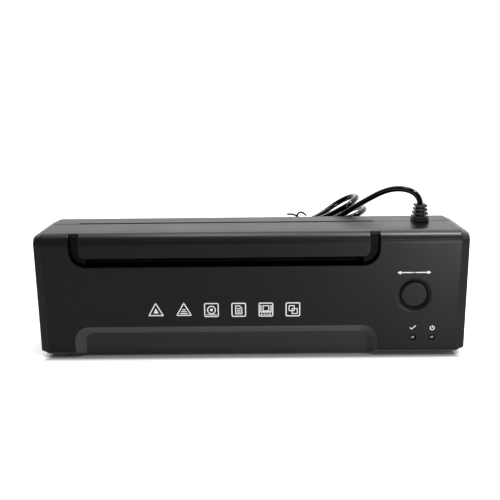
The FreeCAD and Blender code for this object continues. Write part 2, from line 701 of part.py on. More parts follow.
def gearShape(teeth, firstTooth, boreRadius, hubRadius):
    """A spur gear about the X axis through the origin, its first tooth at an angle
    in degrees from +Y towards +Z."""
    module = pitchPerTooth.value
    pitch = module * teeth / 2
    base = pitch * math.cos(math.radians(20))
    tip = pitch + module * 0.85
    root = pitch - module * 1.15
    flankStart = max(base, root)
    pitchHalf = math.pi / teeth / 2 - cell.backlash.value / 4 / pitch
    reference = pitchHalf + involuteAngle(pitch, base)

    def at(radius, angle):
        return FreeCAD.Vector(0, radius * math.cos(angle), radius * math.sin(angle))

    def flank(radius):
        return reference - involuteAngle(radius, base)

    edges = []
    step = 2 * math.pi / teeth
    middle = (flankStart + tip) / 2
    for tooth in range(teeth):
        centre = math.radians(firstTooth) + tooth * step
        gap = centre + step / 2
        nextFlank = centre + step - flank(flankStart)
        edges.append(Part.LineSegment(at(root, centre - flank(flankStart)),
                                      at(flankStart, centre - flank(flankStart))).toShape()
                     if flankStart > root else None)
        edges.append(Part.Arc(at(flankStart, centre - flank(flankStart)),
                              at(middle, centre - flank(middle)),
                              at(tip, centre - flank(tip))).toShape())
        edges.append(Part.Arc(at(tip, centre - flank(tip)), at(tip, centre),
                              at(tip, centre + flank(tip))).toShape())
        edges.append(Part.Arc(at(tip, centre + flank(tip)), at(middle, centre + flank(middle)),
                              at(flankStart, centre + flank(flankStart))).toShape())
        edges.append(Part.LineSegment(at(flankStart, centre + flank(flankStart)),
                                      at(root, centre + flank(flankStart))).toShape()
                     if flankStart > root else None)
        edges.append(Part.Arc(at(root, centre + flank(flankStart)), at(root, gap),
                              at(root, nextFlank)).toShape())
    wire = Part.Wire([edge for edge in edges if edge is not None])
    width = FreeCAD.Vector(cell.gearWidth.value, 0, 0)
    solid = Part.Face(wire).extrude(width)
    axis = FreeCAD.Vector(1, 0, 0)
    hub = Part.makeCylinder(hubRadius, cell.gearWidth.value + 1.2, FreeCAD.Vector(), axis)
    bore = Part.makeCylinder(boreRadius, 20, FreeCAD.Vector(-5, 0, 0), axis)
    return solid.fuse(hub).cut(bore).removeSplitter()


def makeGear(label, teeth, y, z, firstTooth, boreRadius, hubRadius):
    item = doc.addObject("Part::Feature", label.title().replace("_", ""))
    item.Shape = gearShape(teeth, firstTooth, boreRadius, hubRadius)
    item.Placement = FreeCAD.Placement(FreeCAD.Vector(gearX.value, y, z), FreeCAD.Rotation())
    return keep(label, item)


def meshedTooth(driver, driverTeeth, driverTooth, gear, gearTeeth):
    """The first tooth angle that puts a gear in mesh with the one that drives it."""
    line = math.degrees(math.atan2(gear[1] - driver[1], gear[0] - driver[0]))
    return line + 180 + (0.5 - (driverTooth - line) * driverTeeth / 360) * 360 / gearTeeth


rollerTeeth = int(cell.rollerTeeth.value)
idlerTeeth = int(cell.idlerTeeth.value)
pinionTeeth = int(cell.pinionTeeth.value)
axes = {label: (y.value, z.value) for label, (y, z) in rollerAxes.items()}
axes["idler"] = (idlerY, idlerZ)
axes["motor"] = (idlerY, pinionZ)
shaftBore = cell.shaftRadius.value
teethAt = {"lower_feed": 0.0}
teethAt["upper_feed"] = meshedTooth(axes["lower_feed"], rollerTeeth, teethAt["lower_feed"],
                                    axes["upper_feed"], rollerTeeth)
teethAt["idler"] = meshedTooth(axes["lower_feed"], rollerTeeth, teethAt["lower_feed"],
                               axes["idler"], idlerTeeth)
teethAt["lower_exit"] = meshedTooth(axes["idler"], idlerTeeth, teethAt["idler"],
                                    axes["lower_exit"], rollerTeeth)
teethAt["upper_exit"] = meshedTooth(axes["lower_exit"], rollerTeeth, teethAt["lower_exit"],
                                    axes["upper_exit"], rollerTeeth)
teethAt["motor"] = meshedTooth(axes["idler"], idlerTeeth, teethAt["idler"],
                               axes["motor"], pinionTeeth)
for label in rollerAxes:
    makeGear(label + "_gear", rollerTeeth, *axes[label], teethAt[label], shaftBore, shaftBore + 2)
makeGear("idler_gear", idlerTeeth, *axes["idler"], teethAt["idler"],
         cell.studRadius.value + cell.runningGap.value, cell.studRadius.value + 2)
makeGear("motor_pinion", pinionTeeth, *axes["motor"], teethAt["motor"],
         cell.motorShaftRadius.value, cell.motorShaftRadius.value + 1)

stud = fuse("StudSolid", [
    rod("StudPin", "X", (plateRight, idlerY, idlerZ),
        cell.plateThickness + cell.gearOffset + cell.gearWidth + 3.5, cell.screwRadius),
    rod("StudSleeve", "X", (plateOuterRight, idlerY, idlerZ),
        cell.gearOffset + cell.gearWidth + 2, cell.studRadius),
    rod("StudShoulder", "X", (plateOuterRight, idlerY, idlerZ), cell.gearOffset - 0.5,
        cell.studRadius + 1.5),
    rod("StudClip", "X", (gearX + cell.gearWidth + 1.7, idlerY, idlerZ), 0.8,
        cell.studRadius + 1.6)])
keep("idler_stud", stud)

# ---------------------------------------------------------------------- motor
motorStart = plateRight - cell.motorLength
earRadius = cell.screwRadius * 3.4
earPlates = [
    rod(f"EarPlate{number}", "X", (plateRight - 1.2, y, z), 1.2, earRadius)
    for number, (y, z) in enumerate(motorEars)]
earHoles = [
    rod(f"EarHole{number}", "X", (plateRight - 3, y, z), 6, cell.screwRadius)
    for number, (y, z) in enumerate(motorEars)]
motorBody = fuse("MotorBody", earPlates + [
    rod("MotorCan", "X", (motorStart, idlerY, motorZ), cell.motorLength * 0.55, cell.motorRadius),
    rod("MotorGearbox", "X", (motorStart + cell.motorLength * 0.5, idlerY, motorZ),
        cell.motorLength * 0.5, cell.motorRadius),
    rod("MotorRib", "X", (motorStart + cell.motorLength * 0.55, idlerY, motorZ), 1.2,
        cell.motorRadius + 0.6),
    rod("MotorBoss", "X", (plateRight - 1, idlerY, pinionZ),
        cell.plateThickness + 1.5, cell.motorBossRadius),
    block("MotorTerminals", (motorStart + 2, idlerY - 6, motorZ - cell.motorRadius - 3),
          (motorStart + 9, idlerY + 6, motorZ - cell.motorRadius + 3))])
motorBore = rod("MotorBore", "X", (plateRight - 12, idlerY, pinionZ), 20,
                cell.motorShaftRadius + cell.runningGap)
keep("drive_motor", cut("DriveMotor", motorBody, earHoles + [motorBore]))
keep("motor_shaft", rod("MotorShaft", "X", (plateRight - 11.8, idlerY, pinionZ),
                        11.8 + cell.plateThickness + cell.gearOffset + cell.gearWidth + 2,
                        cell.motorShaftRadius))


# ------------------------------------------------------------- heating plates
def makeHeater(label, side):
    """A polished aluminium plate, its flat heater strip and a steel clamp channel.
    Side is 1 above the pouch path and -1 below it."""
    name = label.title()

    def layer(part, near, thickness, depth, start, end):
        far = near + thickness
        low, high = (near, far) if side > 0 else (-far, -near)
        return block(name + part, (start, cell.heaterY - depth / 2, pathZ + low),
                     (end, cell.heaterY + depth / 2, pathZ + high))

    near = cell.heaterGap / 2
    plate = layer("Plate", near, cell.heaterThickness, cell.heaterDepth,
                  plateLeft, plateRight)
    taps = [rod(f"{name}Tap{number}", "X", (x, *heaterScrewPlaces[(side + 1) // 2]), 11,
                cell.screwRadius)
            for number, x in enumerate((plateLeft - 1, plateRight - 10))]
    keep(label + "_heating_plate", cut(name + "HeatingPlate", plate, taps))
    stripStart = plateLeft + 8
    stripEnd = plateRight - 8
    stripNear = near + cell.heaterThickness
    keep(label + "_heater_strip", layer("Strip", stripNear, cell.stripThickness, cell.stripDepth,
                                        stripStart, stripEnd))
    clampNear = stripNear + cell.stripThickness
    web = layer("ClampWeb", clampNear, cell.shieldThickness, cell.heaterDepth, stripStart, stripEnd)
    clampLow = clampNear - cell.stripThickness
    wings = []
    for wing, y0 in (("Front", cell.heaterY - cell.heaterDepth / 2),
                     ("Rear", cell.heaterY + cell.heaterDepth / 2 - cell.shieldThickness)):
        low, high = (clampLow, clampNear) if side > 0 else (-clampNear, -clampLow)
        wings.append(block(name + wing, (stripStart, y0, pathZ + low),
                           (stripEnd, y0 + cell.shieldThickness, pathZ + high)))
    keep(label + "_heater_clamp", fuse(name + "HeaterClamp", [web] + wings))
    return clampNear + cell.shieldThickness


makeHeater("lower", -1)
upperStack = makeHeater("upper", 1)
sensorZ = pathZ + upperStack
keep("thermostat", fuse("Thermostat", [
    rod("ThermostatCan", "Z", (cell.thermostatX, cell.heaterY, sensorZ), 4, cell.thermostatRadius),
    rod("ThermostatTop", "Z", (cell.thermostatX, cell.heaterY, sensorZ + 4), 3,
        cell.thermostatRadius * 0.7),
    block("ThermostatTabs", (cell.thermostatX - cell.thermostatRadius * 1.5, cell.heaterY - 2, sensorZ + 5),
          (cell.thermostatX + cell.thermostatRadius * 1.5, cell.heaterY + 2, sensorZ + 5.8))]))
keep("thermal_fuse", fuse("ThermalFuse", [
    rod("FuseCan", "X", (cell.fuseX, cell.heaterY, sensorZ + cell.fuseRadius), cell.fuseLength,
        cell.fuseRadius),
    rod("FuseLeads", "X", (cell.fuseX - 8, cell.heaterY, sensorZ + cell.fuseRadius),
        cell.fuseLength + 16, 0.5)]))

# -------------------------------------------------- control board and switches
boardBack = cell.boardY + cell.boardThickness
board = newBody("ControlBoard")
pad(board, outline(board, "Y", cell.boardY, rectangle(
    boardX, cell.boardZ, boardX + cell.boardWidth, cell.boardZ + cell.boardHeight),
    "BoardFace"), cell.boardThickness)
pocket(board, rounds(board, "Y", cell.boardY - 1, [
    (x, z, cell.boardScrewRadius) for x, z in boardPosts], "BoardHoles"), cell.boardThickness + 2)
keep("control_board", board)

boardEndX = boardX + cell.boardWidth
relayX = boardEndX - 7.2 - cell.relayWidth
relayZ = cell.boardZ + 16
keep("relay", block("Relay", (relayX, boardBack, relayZ),
                    (relayX + cell.relayWidth, boardBack + cell.relayDepth,
                     relayZ + cell.relayHeight)))
canPlace = (boardX + cell.canRadius - 0.6, boardBack, cell.boardZ + 27)
keep("capacitor", fuse("Capacitor", [
    rod("CapacitorCan", "Y", canPlace, cell.canLength, cell.canRadius),
    rod("CapacitorRim", "Y", canPlace, 1.5, cell.canRadius + 0.3)]))
tabX = boardEndX - 4.2 - cell.tabWidth
tabZ = cell.boardZ + 2
keep("power_transistor", fuse("PowerTransistor", [
    block("TransistorBody", (tabX, boardBack, tabZ + 2),
          (tabX + cell.tabWidth, boardBack + 4.5, tabZ + 11)),
    block("TransistorTab", (tabX, boardBack + 3.2, tabZ),
          (tabX + cell.tabWidth, boardBack + 4.5, tabZ + 2))]))
terminalX = boardX + 2.8
terminalPitch = cell.terminalWidth * 0.3
keep("terminal_block", cut("TerminalBlock",
     block("TerminalBody", (terminalX, boardBack, tabZ),
           (terminalX + cell.terminalWidth, boardBack + cell.terminalDepth,
            tabZ + cell.terminalHeight)),
     [rod(f"Terminal{number}", "Z", (terminalX + cell.terminalWidth * 0.2 + terminalPitch * number,
                                     boardBack + cell.terminalDepth / 2, tabZ + 4), 8, 1.5)
      for number in range(3)]))

# the button pushes the plunger of the switch that stands on the board
switchFront = cell.boardY - 6
stemEnd = switchFront - cell.buttonTravel - cell.plungerGap
capFront = frontY + 0.2
capBack = capFront + cell.buttonDepth - 0.5
button = fuse("ButtonCap", [
    rod("ButtonDisc", "Y", (cell.buttonX, capFront + 1.2, cell.buttonZ), cell.buttonDepth - 1.7,
        cell.buttonRadius),
    cone("ButtonEdge", "Y", (cell.buttonX, capFront, cell.buttonZ), 1.2,
         cell.buttonRadius - 1.1, cell.buttonRadius),
    rod("ButtonStem", "Y", (cell.buttonX, capBack - 0.5, cell.buttonZ),
        stemEnd - capBack + 0.5, cell.stemRadius)])
keep("button_cap", button)
keep("switch_plunger", rod("SwitchPlunger", "Y", (cell.buttonX, stemEnd, cell.buttonZ),
                           switchFront + 2 - stemEnd, cell.plungerRadius))
keep("push_switch", cut("PushSwitch",
     block("SwitchBody", (cell.buttonX - 4, switchFront, cell.buttonZ - 4),
           (cell.buttonX + 4, cell.boardY, cell.buttonZ + 4)),
     [rod("SwitchBore", "Y", (cell.buttonX, switchFront - 1, cell.buttonZ), 5.4,
          cell.plungerRadius + cell.plungerGap)]))


def makeLight(label, x):
    """A round lamp with a domed end and two leads that reach the board."""
    name = label.title().replace("_", "")
    domeY = frontY + cell.lightRadius + 0.1
    leads = [block(f"{name}Lead{number}", (x + offset - 0.25, frontY + 10, cell.lightZ - 0.25),
                   (x + offset + 0.25, cell.boardY, cell.lightZ + 0.25))
             for number, offset in enumerate((-1.27, 1.27))]
    keep(label, fuse(name, [
        ball(name + "Dome", (x, domeY, cell.lightZ), cell.lightRadius),
        rod(name + "Barrel", "Y", (x, domeY, cell.lightZ), 8, cell.lightRadius),
        rod(name + "Collar", "Y", (x, innerFrontY + 0.3, cell.lightZ), 1.2,
            cell.lightRadius + 0.5)] + leads))


makeLight("ready_light", cell.readyX)
makeLight("power_light", cell.powerX)


# -------------------------------------------------------------- feet and screws
def makeScrew(name, axis, tip, length, head, facing):
    """A pan head screw. Facing is 1 where the head is at the far end of the axis."""
    order = {"X": 0, "Y": 1, "Z": 2}[axis]
    headPlace = list(tip)
    headPlace[order] = tip[order] + length if facing > 0 else tip[order] - head[1]
    slotPlace = list(headPlace)
    slotPlace[order] = headPlace[order] + head[1] * 0.4 if facing > 0 else headPlace[order]
    others = [k for k in range(3) if k != order]
    slots = []
    for number in (0, 1):
        low = list(slotPlace)
        high = list(slotPlace)
        high[order] = size(slotPlace[order]) + head[1] * 0.6
        for k in others:
            reach = head[0] * (0.6 if k == others[number] else 0.13)
            low[k] = size(slotPlace[k]) - reach
            high[k] = size(slotPlace[k]) + reach
        slots.append(block(f"{name}Slot{number}", low, high))
    solid = fuse(name + "Solid", [rod(name + "Shank", axis, tip, length, head[2]),
                                  rod(name + "Head", axis, headPlace, head[1], head[0])])
    return cut(name, solid, slots)


smallHead = (cell.screwHeadRadius, cell.screwHeadHeight, cell.screwRadius)
keep("case_screws", group("CaseScrews", [
    makeScrew(f"CaseScrew{number}", "Y", (screwX(side), seamY - cell.screwBite + 0.5, height),
              cell.screwBite - 0.5 + cell.headSeat, smallHead, 1)
    for number, (side, height) in enumerate(screwPlaces)]))
frameScrews = []
for y, z in tieRodPlaces + heaterScrewPlaces:
    number = len(frameScrews)
    frameScrews.append(makeScrew(f"FrameScrewLeft{number}", "X", (plateOuterLeft, y, z),
                                 cell.plateThickness + 8, smallHead, -1))
    frameScrews.append(makeScrew(f"FrameScrewRight{number}", "X", (plateOuterRight - 9.2, y, z),
                                 9.2, smallHead, 1))
keep("frame_screws", group("FrameScrews", frameScrews))
keep("motor_screws", group("MotorScrews", [
    makeScrew(f"MotorScrew{number}", "X", (plateRight - 4, y, z), 4 + cell.plateThickness,
              smallHead, 1)
    for number, (y, z) in enumerate(motorEars)]))
boardHead = (cell.boardScrewRadius * 2, cell.boardScrewRadius * 1.4, cell.boardScrewRadius)
keep("board_screws", group("BoardScrews", [
    makeScrew(f"BoardScrew{number}", "Y", (x, cell.boardY - 5, z), 5 + cell.boardThickness,
              boardHead, 1)
    for number, (x, z) in enumerate(boardPosts)]))
keep("rubber_feet", group("RubberFeet", [
    cone(f"Foot{sideX}{sideY}".replace("-", "m"), "Z",
         ((half - cell.footInsetX) * sideX, (rearY - cell.footInsetY) * sideY, 0), cell.footHeight,
         cell.footRadius - 0.7, cell.footRadius)
    for sideX in (-1, 1) for sideY in (-1, 1)]))

# ------------------------------------------------------------------ power cord


def makeStrainRelief():
    """Square ribs on a round core, clamped in the seam between the two covers."""
    centre = (cell.reliefX, seamY)

    def slab(name, half, low, high):
        return block(name, (cell.reliefX - half, seamY - half, low),
                     (cell.reliefX + half, seamY + half, high))

    ribs = 4
    ribPitch = cell.reliefHeight / (ribs + 0.35)
    solids = [slab("ReliefBase", cell.reliefBase / 2, highZ, highZ + ribPitch * 0.75)]
    for number in range(1, ribs + 1):
        low = highZ + ribPitch * (number - 0.15)
        narrowing = (cell.reliefBase - cell.reliefTopWidth) / 2 * (number / ribs)
        solids.append(slab(f"ReliefRib{number}", cell.reliefBase / 2 - narrowing, low,
                           low + ribPitch * 0.6))
    solids.append(rod("ReliefCore", "Z", (*centre, highZ), cell.reliefHeight, cell.cordRadius + 1.1))
    solids.append(rod("ReliefNeck", "Z", (*centre, innerHighZ - 0.2), cell.wall + 0.4, cell.reliefNeck))
    solids.append(slab("ReliefFlange", cell.reliefBase / 2, innerHighZ - 0.2 - cell.reliefFlange,
                       innerHighZ - 0.1))
    keep("strain_relief", fuse("StrainRelief", solids))


def cordWire(points):
    """Straight runs joined by the largest tangent arcs that they leave room for."""
    points = [FreeCAD.Vector(*point) for point in points]
    edges = []
    radii = []
    last = points[0]
    for before, corner, after in zip(points, points[1:], points[2:]):
        arriving = corner - before
        leaving = after - corner
        turn = arriving.getAngle(leaving)
        trim = 0.45 * min(arriving.Length, leaving.Length)
        radii.append(trim / math.tan(turn / 2))
        start = corner - arriving.normalize() * trim
        end = corner + leaving.normalize() * trim
        inward = (start + end) * 0.5 - corner
        depth = inward.Length
        bow = radii[-1] / math.cos(turn / 2) - radii[-1]
        middle = corner + inward * (bow / depth)
        edges.append(Part.LineSegment(last, start).toShape())
        edges.append(Part.Arc(start, middle, end).toShape())
        last = end
    edges.append(Part.LineSegment(last, points[-1]).toShape())
    return Part.Wire(edges), radii


def makeCord(label, points):
    """A round tube along the cord's route."""
    wire, radii = cordWire(points)
    radius = cell.cordRadius.value
    start = wire.Edges[0].Curve
    direction = wire.Edges[0].tangentAt(wire.Edges[0].FirstParameter)
    circle = Part.Wire(Part.makeCircle(radius, FreeCAD.Vector(*points[0]), direction))
    item = doc.addObject("Part::Feature", label.title().replace("_", ""))
    item.Shape = wire.makePipeShell([circle], True, True)
    expected = math.pi * radius ** 2 * wire.Length
    print(f"{label}: length {wire.Length:.1f}, volume {item.Shape.Volume:.0f} of {expected:.0f}, "
          f"radii " + " ".join(f"{value:.0f}" for value in radii))
    return keep(label, item)


leadPoints = [
    (138.7, 6, 115.2), (138.6, 6.6, 121), (134.8, 9.4, 127), (127.5, 13.6, 130.2),
    (118.5, 19.2, 129.4), (109.5, 26, 125.4), (101.2, 32.4, 119), (92.6, 37.2, 111.8),
    (83, 39.4, 104), (73, 40.4, 96.2), (62.6, 43.4, 89), (52.4, 48, 83.6), (43.4, 54.4, 80.2),
]
tailPoints = [
    (-104, 63.8, 13.8), (-115.6, 62.8, 8.8), (-127.6, 63.6, 5), (-137.2, 73.2, 3.2),
    (-137.4, 87, 2.6), (-127.6, 96.6, 2.6), (-113.8, 97.2, 2.7), (-99.6, 93.4, 2.6),
    (-85, 89.2, 2.8), (-70.4, 86.8, 4.4), (-56, 87, 7),
]
innerPoints = [
    (138.7, 6, 95.9), (138.9, 6.4, 84), (140.4, 8.8, 72), (141.4, 11.4, 59),
    (139.8, 10.8, 46.4), (135.4, 6.6, 35.6), (130, -0.6, 28.6), (126.4, -8.6, 26.4),
    (125.5, -12.4, 20),
]
makeStrainRelief()
makeCord("power_cord", leadPoints)
makeCord("inner_lead", innerPoints)
tilt = FreeCAD.Rotation(FreeCAD.Vector(0, 1, 0), -cell.hankSlope.value)


def leanHank(item):
    """Put a piece drawn flat about the origin on the slope of the hank."""
    item.Placement = FreeCAD.Placement(FreeCAD.Vector(), tilt)
    place(item, cell.hankX, cell.hankY, cell.hankZ)
    return item


def makeHank():
    """The folded part of the cord: open loops at both ends and two tied waists."""
    body = newBody("CordHank")
    end = cell.hankLength / 2
    waist = cell.tieReach + 8
    shoulder = waist + 18
    right = [(waist, -cell.hankWaistHalf), (shoulder, -cell.hankEndHalf),
             (end - 10, -cell.hankEndHalf), (end, -cell.hankEndHalf + 8),
             (end, cell.hankEndHalf - 8), (end - 10, cell.hankEndHalf),
             (shoulder, cell.hankEndHalf), (waist, cell.hankWaistHalf)]
    left = [(-u, -v) for u, v in right]
    half = cell.hankThickness / 2
    pad(body, outline(body, "Z", -half, right + left, "HankOutline"), cell.hankThickness)
    keep("cord_hank", leanHank(body))


def makeTies():
    """Two wire ties round the waists, each with its twisted ends."""
    ties = []
    halfY = cell.hankWaistHalf
    halfZ = cell.hankThickness / 2
    for side in (-1, 1):
        low = cell.tieReach * side - cell.tieWidth / 2
        high = low + cell.tieWidth
        name = "TieRight" if side > 0 else "TieLeft"
        band = cut(name + "Band",
                   block(name + "Outer", (low, -halfY - cell.tieThickness, -halfZ - cell.tieThickness),
                         (high, halfY + cell.tieThickness, halfZ + cell.tieThickness)),
                   [block(name + "Inner", (low - 1, -halfY, -halfZ), (high + 1, halfY, halfZ))])
        twist = rod(name + "Twist", "Z", (low + cell.tieWidth / 2, 0, halfZ), 8, 1.2)
        ties.append(fuse(name, [band, twist]))
    keep("cord_ties", leanHank(group("CordTies", ties)))


def makePlug():
    """A two-pin plug lying on its flat side, with a tapered boot."""
    body = newBody("PowerPlug")
    middle = cell.plugHeight / 2 + cell.plugLift
    sections = []
    for number, (along, wide, high, radius) in enumerate((
            (0, 8, 8, 3.6), (cell.plugBootLength, 10.5, 10, 4.2),
            (cell.plugBootLength + 4, 19, 13, 5), (cell.plugBootLength + 13, 25, 14, 5.5),
            (cell.plugBootLength + cell.plugBodyLength, 26, 14, 5.5))):
        wide = size(wide) / 26 * cell.plugWidth
        high = size(high) / 14 * cell.plugHeight
        corners = [(cell.plugY - wide / 2, middle - high / 2, radius),
                   (cell.plugY + wide / 2, middle - high / 2, radius),
                   (cell.plugY + wide / 2, middle + high / 2, radius),
                   (cell.plugY - wide / 2, middle + high / 2, radius)]
        sections.append(outline(body, "X", cell.plugX + along, corners, f"PlugSection{number}"))
    loft(body, "Additive", sections)
    keep("power_plug", body)
    pinStart = cell.plugX + cell.plugBootLength + cell.plugBodyLength
    pins = []
    for number, offset in enumerate((-cell.plugPinSpacing / 2, cell.plugPinSpacing / 2)):
        y = cell.plugY + offset
        pins.append(fuse(f"PlugPin{number}", [
            rod(f"PinShank{number}", "X", (pinStart, y, middle), cell.plugPinLength - 1.2,
                cell.plugPinRadius),
            cone(f"PinTip{number}", "X", (pinStart + cell.plugPinLength - 1.2, y, middle), 1.2,
                 cell.plugPinRadius, cell.plugPinRadius - 0.9)]))
    keep("plug_pins", group("PlugPins", pins))


makeHank()
makeTies()
makeCord("cord_tail", tailPoints)
makePlug()

# --------------------------------------------------------------------- writing
def checkAndWrite():
    doc.recompute()
    for item in doc.Objects:
        if "Invalid" in item.State or "Error" in item.State:
            raise RuntimeError(f"{item.Label} failed: {item.State}")
    os.makedirs("parts", exist_ok=True)
    for item in pieces:
        shape = item.Shape
        if shape.isNull() or not shape.isValid():
            raise RuntimeError(f"{item.Label} has no valid shape")
        box = shape.BoundBox
        print(f"{item.Label:24s} solids {len(shape.Solids):2d} volume {shape.Volume:10.1f} "
              f"X {box.XMin:7.1f} {box.XMax:7.1f} Y {box.YMin:6.1f} {box.YMax:6.1f} "
              f"Z {box.ZMin:6.1f} {box.ZMax:6.1f}")
        shape.exportStep(f"parts/{item.Label}.step")


checkAndWrite()
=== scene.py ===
import json
import math

import bmesh
import bpy
from mathutils import Matrix, Vector

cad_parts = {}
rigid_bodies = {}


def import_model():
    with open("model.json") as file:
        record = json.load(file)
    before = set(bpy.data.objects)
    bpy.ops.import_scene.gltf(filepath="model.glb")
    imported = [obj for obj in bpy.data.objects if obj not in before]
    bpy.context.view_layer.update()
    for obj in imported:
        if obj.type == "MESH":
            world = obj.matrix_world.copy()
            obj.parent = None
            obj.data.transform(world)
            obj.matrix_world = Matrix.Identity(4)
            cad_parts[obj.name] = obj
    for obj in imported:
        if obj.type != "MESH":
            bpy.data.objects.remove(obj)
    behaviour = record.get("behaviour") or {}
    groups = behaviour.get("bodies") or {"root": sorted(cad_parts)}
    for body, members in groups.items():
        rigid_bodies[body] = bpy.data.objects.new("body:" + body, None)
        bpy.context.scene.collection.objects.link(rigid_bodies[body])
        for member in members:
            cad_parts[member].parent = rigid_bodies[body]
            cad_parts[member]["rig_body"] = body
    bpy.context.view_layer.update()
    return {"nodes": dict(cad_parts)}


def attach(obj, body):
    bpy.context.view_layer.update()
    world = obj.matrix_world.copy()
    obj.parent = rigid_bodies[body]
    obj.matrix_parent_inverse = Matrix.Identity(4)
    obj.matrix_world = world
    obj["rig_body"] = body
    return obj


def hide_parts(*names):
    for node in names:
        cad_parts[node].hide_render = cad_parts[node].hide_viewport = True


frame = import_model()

mm = 0.001

# camera first, then the mains cord

cameraSettings = {
    "place": (4.9, -563.6, 216.4),   # mm
    "pitch": 13.65,                  # degrees below level
    "yaw": 0.6,
    "roll": -0.69,
    "lens": 50.68,
}


def makeCamera(settings):
    data = bpy.data.cameras.new("camera")
    data.lens = settings["lens"]
    data.clip_start = 0.01
    camera = bpy.data.objects.new("camera", data)
    bpy.context.scene.collection.objects.link(camera)
    turn = (Matrix.Rotation(math.radians(settings["yaw"]), 4, "Z")
            @ Matrix.Rotation(math.radians(90 - settings["pitch"]), 4, "X")
            @ Matrix.Rotation(math.radians(settings["roll"]), 4, "Z"))
    camera.matrix_world = Matrix.Translation(Vector(settings["place"]) * mm) @ turn
    bpy.context.scene.camera = camera
    return camera


makeCamera(cameraSettings)
print("camera placed")

cordSettings = {
    "diameter": 5.0,
    "length": 1448,
    # out of the strain relief, over in a low arch and down behind the case
    "lead": [
        (138.7, 6, 115.2), (138.4, 6.8, 119.4), (134.4, 9.6, 124.6), (127, 13.6, 127),
        (118, 19, 126.2), (109.6, 25.4, 122.2), (101.6, 31.6, 116.4), (93.2, 36.8, 110.2),
        (83.6, 39.6, 103.4), (73, 41, 96.2), (62.6, 43.6, 89.2), (52.4, 48, 83.6),
    ],
    # from the foot of the hank round to the plug
    "tail": [
        (-115.6, 62.8, 8.8), (-127.6, 63.6, 5), (-137.2, 73.2, 3.2),
        (-137.4, 87, 2.6), (-127.6, 96.6, 2.6), (-113.8, 97.2, 2.7), (-99.6, 93.4, 2.6),
        (-85, 89.2, 2.8), (-70.4, 86.8, 4.4), (-56, 87, 7),
    ],
}

# the folded hank is drawn flat (along, across, up) and then tilted behind the case
hankSettings = {
    "middle": (-11.4, 60, 57.1),
    "slope": 25,
    "waist": 67,             # where the two ties sit, each way from the middle
    # stations along the runs, between the waists; the first run starts where the lead ends
    "firstRun": (38, 12, -16, -43),
    "otherRuns": (-42, -14, 16, 43),
    "columns": (-6.3, 4.9, -0.7, 4.9, -0.7),     # where each run lies, across
    "layers": (0.4, 3.0, 3.4, -2.4, -2.8),       # and up
    "slack": {"across": 0.35, "up": 0.3},
    # each end loop: how far its bend reaches, its half width, its lift at the bend
    "lowerLoops": [(-115, 16.0, 4.2), (-113, 15.6, -0.6)],
    "upperLoops": [(119.0, 15.6, 6.6), (121.0, 15.4, -6.4)],
    # a loop's sides: how far before its bend, and the share of its full width there
    "loopSides": ((17, 0.55), (7, 0.93)),
    "foot": [(-84, 0.6, -4.4), (-100, 2.6, -5.4)],       # down to the tail
}


def leanHank(along, across, up):
    slope = math.radians(hankSettings["slope"])
    middle = Vector(hankSettings["middle"])
    return middle + Vector((along * math.cos(slope) - up * math.sin(slope), across,
                            along * math.sin(slope) + up * math.cos(slope)))


def runPoints(index, direction):
    # one straight run between the two waists, with a little slack in it
    across = hankSettings["columns"][index]
    up = hankSettings["layers"][index]
    waist = hankSettings["waist"]
    slack = hankSettings["slack"]
    if index:
        stations = [-waist, *hankSettings["otherRuns"], waist]
    else:
        stations = [*hankSettings["firstRun"], -waist]
    if index and direction < 0:
        stations.reverse()
    return [(station,
             across + slack["across"] * math.sin(station * 0.09 + index * 1.7),
             up + slack["up"] * math.cos(station * 0.07 + index * 2.3)) for station in stations]


def loopPoints(loop, before, after):
    # a teardrop bend from one run to the next
    reach, half, lift = loop
    side = 1 if reach > 0 else -1
    centre = reach - side * half
    corner = half * math.tan(math.radians(22.5))     # the bend's points are an octagon's
    facing = 1 if before[1] > after[1] else -1
    shape = [(centre - side * back, wide) for back, wide in hankSettings["loopSides"]]
    shape.append((centre + side * corner, 1.0))
    bend = [(along, facing * half * wide) for along, wide in shape]
    bend.append((reach, facing * corner))
    bend += [(along, -across) for along, across in reversed(bend)]
    points = []
    for number, (along, across) in enumerate(bend):
        share = number / (len(bend) - 1)
        arch = math.sin(math.pi * share)
        up = (1 - share) * before[2] + share * after[2]
        points.append((along, across, up + (lift - (before[2] + after[2]) / 2) * arch))
    return points


def hankPoints():
    runs = [runPoints(index, 1 if index % 2 else -1)
            for index in range(len(hankSettings["columns"]))]
    lower, upper = hankSettings["lowerLoops"], hankSettings["upperLoops"]
    points = list(runs[0])
    for run, loop in zip(runs[1:], (lower[0], upper[0], lower[1], upper[1])):
        points += loopPoints(loop, points[-1], run[0])
        points += run
    points += hankSettings["foot"]
    return [tuple(leanHank(*point)) for point in points]


def bentLine(name, points, radius, roundness, smoothness):
    # a round curve that follows its points, which are in mm
    curve = bpy.data.curves.new(name, "CURVE")
    curve.dimensions = "3D"
    curve.bevel_depth = radius * mm
    curve.bevel_resolution = roundness
    curve.resolution_u = smoothness
    curve.use_fill_caps = True
    spline = curve.splines.new("NURBS")
    spline.points.add(len(points) - 1)
    for target, point in zip(spline.points, points):
        target.co = (point[0] * mm, point[1] * mm, point[2] * mm, 1)
    spline.order_u = 3
    spline.use_endpoint_u = True
    return curve


def makeCord():
    points = cordSettings["lead"] + hankPoints() + cordSettings["tail"]
    curve = bentLine("power_cord_line", points, cordSettings["diameter"] / 2,
                     roundness=6, smoothness=8)
    curve.materials.append(bpy.data.materials.new("cord_sheath"))
    cord = bpy.data.objects.new("mains_cord", curve)
    bpy.context.scene.collection.objects.link(cord)
    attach(cord, "root")
    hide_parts("power_cord", "cord_hank", "cord_tail")
    return cord


cord = makeCord()
print("cord laid")

# finishes

